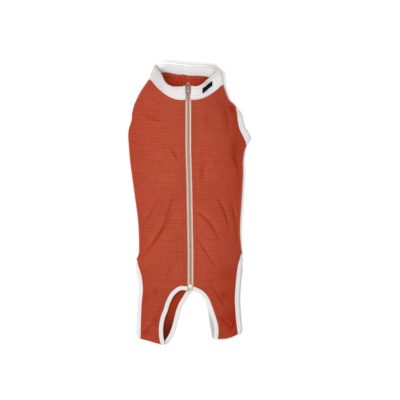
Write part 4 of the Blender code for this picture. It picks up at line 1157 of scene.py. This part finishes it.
# %% Lay out both halves
along_belly = inner_rows(1)
belly_points = np.c_[
    line_x(BELLY_LINE, along_belly), -along_belly * BODY_LENGTH, np.full(ZIP_ROW + 1, CLOTH / 2)
]
belly_ribs = rib_place(belly_points[:, 0], belly_points[:, 1])
belly = add_points(belly_points, np.full(ZIP_ROW + 1, BELLY_MAP), belly_ribs)
apex_run = np.outer(BINDING_STEPS[1:], [0.0, -1.0, 0.0])
apex = add_points(belly_points[-1] + apex_run, np.full(EDGE_STEPS, LOWER_MAP), BINDING_STEPS[1:])
halves = {side: Half(side) for side in SIGN}
for half in halves.values():
    lay_upper(half)
    lay_lower(half, belly)
    turn_side(half)
    bind_arch(half, apex)
    share_out(half)
    fold_strap_end(half)
left, right = halves["left"], halves["right"]
bind_slit(left)
print("points on the middle surface", len(every("points")))

# %% [markdown]
# The collar is a doubled knit band that stands up from the neck seam. It starts on the ring of neck
# points and leans the way the table says, with a slight ripple along its top.

# %% The collar
COLLAR_STEPS = 22
RIPPLE = 0.0005
RIPPLE_LENGTH = 0.011


def neck_strip(half):
    return np.r_[half.top[0], half.high[0, 1:], half.deep[0, -2:0:-1], half.low[0, ::-1]]


ring = np.r_[neck_strip(left), neck_strip(right)[::-1][1:]]
ring_points = every("points")[ring]
ring_run = run_along(ring_points)
ring_share = ring_run / ring_run[-1]
lean = unit(np.stack([read(COLLAR_LEAN, ring_share, k) for k in (1, 2, 3)], axis=1))
collar_rows = [ring]
for step in range(1, COLLAR_STEPS + 1):
    share = step / COLLAR_STEPS
    ripple = RIPPLE * share * np.sin(ring_run / RIPPLE_LENGTH + 0.7)
    line = ring_points + lean * COLLAR_WIDTH * share + UP * ripple[:, None]
    across = np.full(len(ring), share * COLLAR_WIDTH)
    # painted shade greys the collar's front and sides, which face the light more than its back, and
    # its rim
    painted_shade = read(COLLAR_PAINTED_SHADE, ring_share) + RIM_PAINTED_SHADE * step_up(share, 0.70, 0.95)
    collar_rows.append(add_points(line, ring_run, across, painted_shade))
collar_rows = np.array(collar_rows)
add_patch("collar", collar_rows.T, False)
print("neck seam %.0f mm round" % (1000 * ring_run[-1]))

# %% [markdown]
# Every point of the middle surface gets one normal, which all pieces that meet there share, so
# that their walls meet as well.


# %% Normals of the middle surface
def doubled_area(points, faces):
    """Twice the area of each face, as a vector along its normal."""
    p = points[faces]
    return np.cross(p[:, 2] - p[:, 0], p[:, 3] - p[:, 1])


def middle_normals(points):
    normals = np.zeros_like(points)
    for block in (block for blocks in patches.values() for block in blocks):
        area = doubled_area(points, block)
        for k in range(4):
            np.add.at(normals, block[:, k], area)
    size = np.linalg.norm(normals, axis=1)
    return normals / np.where(size > 0, size, 1.0)[:, None]


# %% [markdown]
# A piece is made straight from its points and faces. Its map holds real lengths on the cloth, so
# the knit keeps its scale and direction however the piece is folded.


# %% A piece from points and faces
def new_piece(name, points, faces, cloth, finish, angle=50.0, fold=None):
    """A mesh object of four-cornered faces, with its place on the cloth as a map."""
    mesh = bpy.data.meshes.new(name)
    mesh.vertices.add(len(points))
    mesh.vertices.foreach_set("co", (points + SUIT_SHIFT).ravel())
    mesh.loops.add(faces.size)
    mesh.loops.foreach_set("vertex_index", faces.ravel())
    mesh.polygons.add(len(faces))
    mesh.polygons.foreach_set("loop_start", np.arange(0, faces.size, 4))
    mesh.update(calc_edges=True)
    layer = mesh.uv_layers.new(name="cloth")
    layer.data.foreach_set("uv", cloth[faces.ravel()].ravel())
    # the fold attribute is painted shade, which the finishes mix into the colour
    if fold is not None:
        mesh.attributes.new("fold", "FLOAT", "POINT").data.foreach_set("value", fold)
    mesh.polygons.foreach_set("use_smooth", [True] * len(faces))
    mesh.set_sharp_from_angle(angle=math.radians(angle))
    mesh.materials.append(finishes[finish])
    mesh.validate()
    obj = bpy.data.objects.new(name, mesh)
    bpy.context.scene.collection.objects.link(obj)
    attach(obj, "suit")
    return obj


# %% [markdown]
# A sheet gets its wall by moving its points out and in along their normals and closing the rim.
# On the outside the ribs are pressed in, so they are real shape and not only shading.


# %% Sheets with a wall
def close_sheet(outer, inner, faces):
    """Points and faces of a sheet with both sides and a rim."""
    count = len(outer)
    start, end = faces.ravel(), np.roll(faces, -1, axis=1).ravel()
    lone = ~np.isin(start * count + end, end * count + start)
    a, b = start[lone], end[lone]
    rim = np.stack([b, a, a + count, b + count], axis=1)
    return np.vstack([outer, inner]), np.vstack([faces, faces[:, ::-1] + count, rim])


def cloth_piece(name, thickness, finish, fullness, pressed=0.0):
    """One patch of the middle surface as a sheet that stands for the solid of its name."""
    faces = np.vstack(patches[name])
    used, local = np.unique(faces, return_inverse=True)
    half = thickness / 2 * fullness[used]
    groove = 0.5 - 0.5 * np.cos(2 * np.pi * cloth_places[used, 1] / RIB_PITCH)
    base, way = surface_points[used], surface_normals[used]
    outer = base + way * (half - pressed * groove)[:, None]
    inner = base - way * half[:, None]
    for layer in (outer, inner):
        layer[:, 2] = np.maximum(layer[:, 2], 0.0)
    points, faces = close_sheet(outer, inner, local.reshape(faces.shape))
    cloth = np.vstack([cloth_places[used], cloth_places[used] + [REVERSE, 0.0]])
    # each point's painted shade goes into the piece as its fold attribute
    fold = np.tile(painted_shade_values[used], 2)
    obj = new_piece(name + "_cloth", points, faces, cloth, finish, fold=fold)
    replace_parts(obj, name)
    area = np.linalg.norm(doubled_area(points, faces), axis=1).sum() / 4
    print(name, "faces", len(faces), "sheet area %.4f m2" % area)
    return obj


# %% [markdown]
# A binding is fullest near its seam and thins to its rolled edge, and the cloth is pressed thinner
# where it runs under a seam. The collar has the same kind of profile from its seam to its top.

# %% Make the cloth pieces
COLLAR_PROFILE = np.r_[0.62, 0.84, np.ones(COLLAR_STEPS - 4), 0.96, 0.80, 0.40]

surface_points, cloth_places, painted_shade_values = every("points"), every("cloth"), every("fold")
surface_normals = middle_normals(surface_points)
binding_fullness, cloth_fullness, collar_fullness = np.ones((3, len(surface_points)))
for half in halves.values():
    for grid in (half.high, half.deep, half.arch_high, half.arch_deep):
        binding_fullness[grid] = EDGE_FULLNESS
    for grid in (half.high, half.deep):
        binding_fullness[grid[half.shut_rows]] = 1.0
    for grid in (half.top, half.low):
        cloth_fullness[grid[:, -1]] = cloth_fullness[grid[ZIP_ROW:, 0]] = 0.8
    cloth_fullness[half.top[0]] = 0.7
binding_fullness[left.slit_rings] = EDGE_FULLNESS[:, None]
collar_fullness[collar_rows] = COLLAR_PROFILE[:, None]

sheets = {}
for side in SIGN:
    body = "body_" + side
    sheets[body] = cloth_piece(body, CLOTH, "rib_knit", cloth_fullness, RIB_DEPTH)
    for name in ("arm_binding_" + side, "leg_binding_" + side):
        sheets[name] = cloth_piece(name, BINDING_THICK, "white_knit", binding_fullness)
sheets["tail_binding"] = cloth_piece("tail_binding", BINDING_THICK, "white_knit", binding_fullness)
sheets["collar"] = cloth_piece("collar", COLLAR_THICK, "collar_knit", collar_fullness)

# %% [markdown]
# The zip tape lies under the cloth edges, so it follows the same surface a little lower. It reaches
# from the collar's top to a short tail under the arch, and splits above the slider.

# %% Zip tapes
SLOPE = unit(np.array([0.0, 0.86, 0.51]))
ACROSS = np.array([1.0, 0.0, 0.0])
SLOPE_NORMAL = np.cross(ACROSS, SLOPE)
# how far the tape's middle lies under the middle of the collar, the cloth and the binding
UNDER_COLLAR = COLLAR_THICK / 2 + TAPE_THICK / 2 + 0.0004
UNDER_CLOTH = CLOTH / 2 + TAPE_THICK / 2 + 0.00045
UNDER_BINDING = BINDING_THICK / 2 + TAPE_THICK / 2 + 0.0006
SLIDER_SHARE = 2 / 3
HALF_GAP = 0.0003
SPLIT_GAP = 0.0017
TAPE_TAIL = np.array([0.0, -0.0055, -0.0006])
# columns across the tape that show, and those that are hidden under the cloth
TAPE_SHOWN = np.array([0.0, 0.34, 0.67, 1.0])
TAPE_HIDDEN = np.array([0.5, 1.0])


def zip_stations(side):
    """Tape points at each station: zip edge, cloth edge and hidden edge, with the way up."""
    half = halves[side]
    column, inward = (0, UNDER_COLUMNS) if side == "left" else (-1, -1 - UNDER_COLUMNS)
    stations = []
    for row in range(COLLAR_STEPS, 0, -1):
        base, hidden = surface_points[collar_rows[row, [column, inward]]]
        opening = float(step_up(row / COLLAR_STEPS, SLIDER_SHARE, SLIDER_SHARE + 0.14))
        x = line_x(ZIP_LINE, 0.0) + half.sign * (HALF_GAP + SPLIT_GAP * opening)
        low = SLOPE_NORMAL * UNDER_COLLAR
        stations.append(([x, base[1], base[2]] - low, base - low, hidden - low, SLOPE_NORMAL))
    for row in range(0, ZIP_ROW + 1, 2):
        base, hidden = surface_points[half.top[row, [0, UNDER_COLUMNS]]]
        up = unit(surface_normals[half.top[row, 0]] * [0.0, 1.0, 1.0])
        deep = UNDER_CLOTH + (UNDER_COLLAR - UNDER_CLOTH) * (1 - float(step_up(row, 0, 14)))
        deep += (UNDER_BINDING - UNDER_CLOTH) * float(step_up(row, ZIP_ROW - 30, ZIP_ROW))
        x = line_x(ZIP_LINE, -base[1] / BODY_LENGTH) + half.sign * HALF_GAP
        low = up * deep
        stations.append(([x, base[1], base[2]] - low, base - low, hidden - low, up))
    start, after = surface_points[half.arch_high[[0, 8], 0]]
    beside = start + unit(after - start) * TAPE_UNDER
    near, edge = stations[-1][:2]
    hidden = beside + TAPE_TAIL - UP * UNDER_BINDING
    stations.append((near + TAPE_TAIL, edge + TAPE_TAIL, hidden, UP))
    return [np.array(column) for column in zip(*stations)]


# %% [markdown]
# Tapes, the tag and the seam allowances are thin strips. Each is a grid of points with a way up,
# and gets a little thinner at its two long edges.


# %% Thin strips
def thin_sheet(name, grid, ups, thickness, cloth, finish, fold=None):
    """A grid of points made into a thin closed sheet."""
    rows, columns = grid.shape[:2]
    faces = grid_faces(np.arange(rows * columns).reshape(rows, columns), False)
    points, way = grid.reshape(-1, 3), ups.reshape(-1, 3)
    if doubled_area(points, faces).sum(axis=0) @ way.mean(axis=0) < 0:
        faces = faces[:, ::-1]
    rounding = np.ones((rows, columns))
    rounding[:, [0, -1]] = 0.7
    half = (thickness / 2 * rounding).reshape(-1, 1)
    points, faces = close_sheet(points + way * half, points - way * half, faces)
    cloth = np.vstack([cloth.reshape(-1, 2)] * 2)
    fold = None if fold is None else np.tile(fold.ravel(), 2)
    return new_piece(name, points, faces, cloth, finish, fold=fold)


def cloth_map(across, along):
    return np.stack(np.broadcast_arrays(across, along), axis=-1)


# %% [markdown]
# Both tapes are laid in the same way. The zip edge of each is kept, because the teeth sit on it.

# %% Make the tapes
zip_lines = {}
for side in SIGN:
    near, edge, hidden, ups = zip_stations(side)
    shown = near[:, None] + (edge - near)[:, None] * TAPE_SHOWN[None, :, None]
    under = edge[:, None] + (hidden - edge)[:, None] * TAPE_HIDDEN[None, :, None]
    grid = np.concatenate([shown, under], axis=1)
    cloth = cloth_map(run_along(grid[5])[None, :], run_along(near)[:, None])
    ways = np.repeat(ups[:, None], grid.shape[1], axis=1)
    tape = thin_sheet("tape_" + side, grid, ways, TAPE_THICK, cloth, "zip_tape")
    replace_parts(tape, "zip_tape_" + side)
    sheets["tape_" + side] = tape
    zip_lines[side] = (near, ups)
    print("tape", side, "%.0f mm long" % (1000 * run_along(near)[-1]))

# %% [markdown]
# The teeth are one small rounded bar, repeated. The two sides are offset by half a pitch, so each
# bar's head reaches between two heads of the other side, as in a closed zip.

# %% Zip teeth
TOOTH_PITCH = 0.0016
TOOTH_REACH = 0.0027
TOOTH_HEAD = 0.0004
TOOTH_MIDDLE = 0.0014
LAST_TOOTH = 0.002
FIRST_TOOTH = {"left": 0.5, "right": 1.0}
# the bar's section, as shares along the zip and heights above the tape's middle
TOOTH_SECTION = (
    (-0.30, 0.0005), (-0.34, 0.0015), (-0.18, 0.0023),
    (0.18, 0.0023), (0.34, 0.0015), (0.30, 0.0005),
)
# shares from head to root, and how full the bar is there
TOOTH_RUN = ((0.0, 0.55), (0.12, 0.95), (0.6, 1.0), (0.92, 0.9), (1.0, 0.6))


def bars(rings):
    """Points, ring numbers and wall faces of many bars, each made of a few rings of points."""
    points = np.stack(rings, axis=1)
    count, levels, sides = points.shape[:3]
    base = np.arange(count * levels * sides).reshape(count, levels, sides)
    a, d = base[:, :-1], base[:, 1:]
    b, c = np.roll(a, -1, axis=2), np.roll(d, -1, axis=2)
    return points.reshape(-1, 3), base, np.stack([a, b, c, d], axis=-1).reshape(-1, 4)


def teeth(side):
    near, ups = zip_lines[side]
    start = int(round((1 - SLIDER_SHARE) * COLLAR_STEPS))
    line = near[start:-2].copy()
    line[:, 0] = line_x(ZIP_LINE, -line[:, 1] / BODY_LENGTH)
    run = run_along(line)
    wanted = np.arange(TOOTH_PITCH * FIRST_TOOTH[side], run[-1] - LAST_TOOTH, TOOTH_PITCH)
    middle = points_at(line, run, wanted)
    up = unit(points_at(ups[start:-2], run, wanted))
    way = np.cross(up, ACROSS)
    rings = []
    for share, full in TOOTH_RUN:
        x = SIGN[side] * (-TOOTH_HEAD + share * (TOOTH_REACH + TOOTH_HEAD))
        rings.append(np.stack([
            middle + ACROSS * x + way * (a * full * TOOTH_PITCH)
            + up * (TOOTH_MIDDLE + (b - TOOTH_MIDDLE) * full)
            for a, b in TOOTH_SECTION
        ], axis=1))
    points, base, walls = bars(rings)
    caps = []
    for end in (base[:, 0][:, ::-1], base[:, -1]):
        caps += [end[:, [0, 1, 2, 5]], end[:, [2, 3, 4, 5]]]
    faces = np.vstack([walls, *caps])
    if side == "left":
        faces = faces[:, ::-1]
    print(len(wanted), "teeth", side)
    return new_piece("teeth_" + side, points, faces, points[:, :2], "zip_chain", 35.0)


for side in SIGN:
    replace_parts(teeth(side), "zip_teeth_" + side)

# %% [markdown]
# The slider, its pull, the stops and the box are small cast or moulded pieces. Their solids are
# right in size but have knife edges, so each is copied, its triangles are merged into flat faces,
# and every edge gets a small bevel, as a casting has.

# %% Small hard pieces with soft edges
# how strong the painted highlight is on the highest places of a casting, and how far down it
# reaches
PAINTED_HIGHLIGHT = {"slider_cast": 0.9, "pull_cast": 0.22}
PAINTED_HIGHLIGHT_DEPTH = 0.0028
PAINTED_HIGHLIGHT_BLEND = 0.0010
# solid, name of the piece, slot, bevel, body that it rides on, finish
HARD_PIECES = (
    ("zip_slider", "slider_cast", "zip_metal", 0.0003, "suit", "zip_metal"),
    ("zip_pull", "pull_cast", "zip_metal", 0.00025, "zip_pull", "zip_metal"),
    ("zip_stop_left", "stop_left_metal", "zip_metal", 0.0003, "suit", "zip_stop"),
    ("zip_stop_right", "stop_right_metal", "zip_metal", 0.0003, "suit", "zip_stop"),
    ("zip_bottom_box", "box_moulded", "zip_box", 0.0004, "suit", "zip_box"),
)


def softened(node, name, slot, bevel, body, finish):
    """A copy of a solid with its edges bevelled, and a painted highlight share on its highest
    points.
    """
    bpy.ops.object.select_all(action="DESELECT")
    source = bpy.data.objects[node]
    source.select_set(True)
    bpy.context.view_layer.objects.active = source
    bpy.ops.object.duplicate(linked=False)
    piece = bpy.context.object
    piece.name = name
    bpy.ops.object.mode_set(mode="EDIT")
    bpy.ops.mesh.select_all(action="SELECT")
    bpy.ops.mesh.remove_doubles(threshold=0.00001)
    bpy.ops.mesh.dissolve_limited(angle_limit=math.radians(2.0))
    bpy.ops.object.mode_set(mode="OBJECT")
    rounding = piece.modifiers.new("rounding", "BEVEL")
    rounding.width = bevel
    rounding.segments = 2
    rounding.limit_method = "ANGLE"
    rounding.angle_limit = math.radians(25.0)
    bpy.ops.object.modifier_apply(modifier=rounding.name)
    bpy.ops.object.shade_smooth_by_angle(angle=math.radians(35.0))
    height = np.array([SLOPE_NORMAL @ np.array(v.co) for v in piece.data.vertices])
    # the high attribute is the painted highlight: full on the highest places, none lower down
    high = np.clip((height - height.max() + PAINTED_HIGHLIGHT_DEPTH) / PAINTED_HIGHLIGHT_BLEND, 0.0, 1.0)
    high = high * PAINTED_HIGHLIGHT.get(name, 1.0)
    piece.data.attributes.new("high", "FLOAT", "POINT").data.foreach_set("value", high)
    piece.data.materials.clear()
    piece.data.materials.append(finishes[finish])
    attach(piece, body)
    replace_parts(piece, node)
    bpy.ops.object.select_all(action="DESELECT")
    print(name, "faces", len(piece.data.polygons))


for row in HARD_PIECES:
    softened(*row)

# %% [markdown]
# The tag is a short woven tape sewn flat on the right front of the collar. It is left bare, and it
# follows the collar's own surface, a hair above it.

# %% Tag
TAG_COLUMNS = 12
TAG_ROWS = (0.0, 0.08, 0.5, 0.92, 1.0)
TAG_LENGTH = 0.02
TAG_WIDTH = 0.0065
TAG_THICK = 0.0007
TAG_LIFT = COLLAR_THICK / 2 + 0.0006
# out, and the shares of the collar's width where the tag begins and ends
TAG_ENDS = ((0.218, 0.37, 0.740), (0.298, 0.45, 0.745), (0.376, 0.44, 0.720))


def collar_place(ring_numbers, share):
    """Points of the collar's middle surface at a share of its width."""
    k, t = divmod(share * COLLAR_STEPS, 1)
    low, high = surface_points[collar_rows[int(k) : int(k) + 2][:, ring_numbers]]
    return low * (1 - t) + high * t


def collar_at_x(x, share):
    """The right front of the collar at this x: its middle surface and its normal."""
    numbers = np.arange(len(ring) - 1, len(ring) - COLUMNS - 2, -1)
    line = collar_place(numbers, share)
    k = int(np.clip(np.searchsorted(line[:, 0], x) - 1, 0, len(line) - 2))
    t = (x - line[k, 0]) / (line[k + 1, 0] - line[k, 0])
    up = collar_place(numbers[k], share + 0.05) - collar_place(numbers[k], share - 0.05)
    return line[k] * (1 - t) + line[k + 1] * t, unit(np.cross(line[k + 1] - line[k], up))


tag_grid, tag_ups = [], []
for out in np.linspace(TAG_ENDS[0][0], TAG_ENDS[-1][0], TAG_COLUMNS):
    low, normal = collar_at_x(out * HALF_CHEST, float(read(TAG_ENDS, out, 1)))
    high, _ = collar_at_x(out * HALF_CHEST, float(read(TAG_ENDS, out, 2)))
    lift = normal * TAG_LIFT
    tag_grid.append([low + (high - low) * t + lift for t in TAG_ROWS])
    tag_ups.append([normal] * len(TAG_ROWS))
tag_run = np.linspace(0.0, TAG_LENGTH, TAG_COLUMNS)
tag_cloth = cloth_map(tag_run[:, None], np.linspace(0, TAG_WIDTH, len(TAG_ROWS))[None, :])
tag_grid, tag_ups = np.array(tag_grid), np.array(tag_ups)
tag = thin_sheet("tag_tape", tag_grid, tag_ups, TAG_THICK, tag_cloth, "black_tag")
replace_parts(tag, "neck_tag")
print("tag %.1f mm long" % (1000 * TAG_LENGTH))

# %% [markdown]
# Seam allowances are narrow overlocked strips inside the suit. One runs along the belly and one
# round the neck, and both show through the neck with an uneven edge.

# %% Belly seam and neck seam
STRIP_SHARES = np.linspace(-0.5, 0.5, 7)
OVERLOCK = 0.0009
# where the painted shadow line along a strip's edge lies, and where the painted shade at its end
# starts and is full
PAINTED_SHADOW_EDGE = -0.5
PAINTED_SHADE_END = (0.75, 0.87)
DARKEST = 0.97
NECK_STRIP_ROW = 5
SEAM_START, SEAM_STOP = 0.008, 0.010
SEAM_STEPS, NECK_STEPS = 420, 300


def flat_strip(name, middle, width, height, thickness, ripple, painted_shade_end=0.0):
    """A sewn strip that lies on the inner face of the lower layer."""
    normal = unit(to_left(np.gradient(middle, axis=0)))
    run = run_along(middle)
    xy = middle[:, None] + normal[:, None] * (STRIP_SHARES * width)[None, :, None]
    across = (1 - 2 * np.abs(STRIP_SHARES))[None, :]
    z = height + ripple * np.sin(run / OVERLOCK)[:, None] * across
    grid = np.concatenate([xy, z[:, :, None]], axis=2)
    ups = np.broadcast_to(UP, grid.shape)
    cloth = cloth_map((STRIP_SHARES * width)[None, :], run[:, None])
    patchy = 0.25 + 0.25 * np.sin(run / 0.0023) * np.sin(run / 0.0051 + 1.0)
    # painted shade: a shadow line along one edge, and shade at the neck strip's end in the neck's
    # corner
    patchy = patchy + painted_shade_end * step_up(run / run[-1], *PAINTED_SHADE_END)
    fold = np.minimum(patchy[:, None] + 0.7 * (STRIP_SHARES == PAINTED_SHADOW_EDGE)[None, :], DARKEST)
    print(name, "%.0f mm long" % (1000 * run[-1]))
    return thin_sheet(name, grid, ups, thickness, cloth, "rib_knit", fold)


# Both strips are cut with a margin at their ends and laid as many short steps.
seam_along = np.linspace(along_belly[0] + SEAM_START, BELLY_END_ALONG - SEAM_STOP, SEAM_STEPS)
seam_line = np.c_[line_x(BELLY_LINE, seam_along), -seam_along * BODY_LENGTH]
seam = flat_strip("belly_allowance", seam_line, width=0.009, height=0.0024, thickness=0.0009,
                  ripple=0.00012)
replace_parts(seam, "belly_seam")
neck_row = np.r_[left.low[NECK_STRIP_ROW, ::-1], right.low[NECK_STRIP_ROW]]
neck_line = evenly(smooth_line(surface_points[neck_row][4:-4:6, :2], 6), NECK_STEPS)
neck_seam = flat_strip("neck_allowance", neck_line, width=0.0060, height=0.0030, thickness=0.0010,
                       ripple=0.00030, painted_shade_end=0.9)

# %% [markdown]
# Stitches are tiny, but a suit without them looks moulded. Each is a short raised thread, laid in
# two rows along the bindings, four along the collar, and one beside the zip.

# %% Stitches
STITCH_PITCH = 0.0030
STITCH_LENGTH = 0.0023
SHORTEST_STITCH = 0.6 * STITCH_LENGTH
FIRST_STITCH = 0.001
THREAD = 0.00042
THREAD_HEIGHT = 0.55 * THREAD
THREAD_LIFT = 0.15 * THREAD
# shares along a stitch, and how full the thread is there
THREAD_RUN = ((0.0, 0.45), (0.2, 1.0), (0.8, 1.0), (1.0, 0.45))
# a thread's section, as shares of its half width and its height
THREAD_SECTION = ((-1.0, -1.0), (1.0, -1.0), (0.6, 1.0), (-0.6, 1.0))


def stitches_along(lines, finish, name):
    """Short raised threads along lines of points with their ways up."""
    starts, ways, tops = [], [], []
    for line, up in lines:
        run = run_along(line)
        wanted = np.arange(FIRST_STITCH, run[-1] - STITCH_LENGTH, STITCH_PITCH)
        starts.append(points_at(line, run, wanted))
        ways.append(points_at(line, run, wanted + STITCH_LENGTH) - starts[-1])
        tops.append(points_at(up, run, wanted))
    start, way, top = np.vstack(starts), np.vstack(ways), np.vstack(tops)
    above_floor = (start[:, 2] > THREAD) & ((start + way)[:, 2] > THREAD)
    keep = (np.linalg.norm(way, axis=1) > SHORTEST_STITCH) & above_floor
    start, way, top = start[keep], way[keep], top[keep]
    side_way = np.cross(unit(way), top)
    rings = []
    for share, full in THREAD_RUN:
        wide, high = side_way * THREAD / 2 * full, top * THREAD_HEIGHT * full
        middle = start + way * share
        rings.append(np.stack([middle + wide * a + high * b for a, b in THREAD_SECTION], axis=1))
    points, base, walls = bars(rings)
    walls = walls[:, [0, 3, 2, 1]]
    faces = np.vstack([walls, base[:, 0], base[:, -1][:, ::-1]])
    a, b, c = (points[walls[:, k]] for k in range(3))
    faces = faces if (a * np.cross(b, c)).sum() > 0 else faces[:, ::-1]
    print(name, len(start), "stitches")
    return new_piece(name, points, faces, points[:, :2], finish, 60.0)


def surface_line(numbers, thickness, side=1.0):
    """A line of surface points lifted to the outer face, with its ways up."""
    up = surface_normals[numbers] * side
    return surface_points[numbers] + up * (thickness / 2 + THREAD_LIFT), up


# %% [markdown]
# White stitches run on both layers of the bindings and on both faces of the collar. The zip's own
# row is sewn in rust through the body, a few millimetres from the cloth's edge.

# %% Sew the stitches
leg_rows = slice(row_at(LEG_ROW + 0.5), None)
arm_rows = slice(row_at(ARM_ROWS[0] + 0.6), row_at(ARM_ROWS[1] - 0.4))
bound = []
for half in halves.values():
    bound += [(half.high[leg_rows], 1.0), (half.arch_high, 1.0), (half.arch_deep, -1.0)]
bound.append((right.high[arm_rows], 1.0))
white_lines = [surface_line(grid[:, column], BINDING_THICK, side)
               for grid, side in bound for column in (1, 2)]
for row in (2, 4, COLLAR_STEPS - 4, COLLAR_STEPS - 2):
    for side in (1.0, -1.0):
        white_lines.append(surface_line(collar_rows[row], COLLAR_THICK, side))
stitches_along(white_lines, "white_knit", "white_stitches")
rust_lines = [surface_line(half.top[6 : ZIP_ROW - 4, 1], CLOTH) for half in halves.values()]
stitches_along(rust_lines, "rib_knit", "zip_topstitch")

# %% [markdown]
# A binding is cut twice as wide as it shows, because it is folded over the cloth's edge.

for piece, length, width in (
    (sheets["tape_left"], 0.39, 0.0127),
    (sheets["tape_right"], 0.39, 0.0127),
    (tag, 0.020, 0.010),
    (seam, 0.40, 0.010),
):
    print(piece.name, "cut %.1f by %.1f mm" % (1000 * width, 1000 * length))
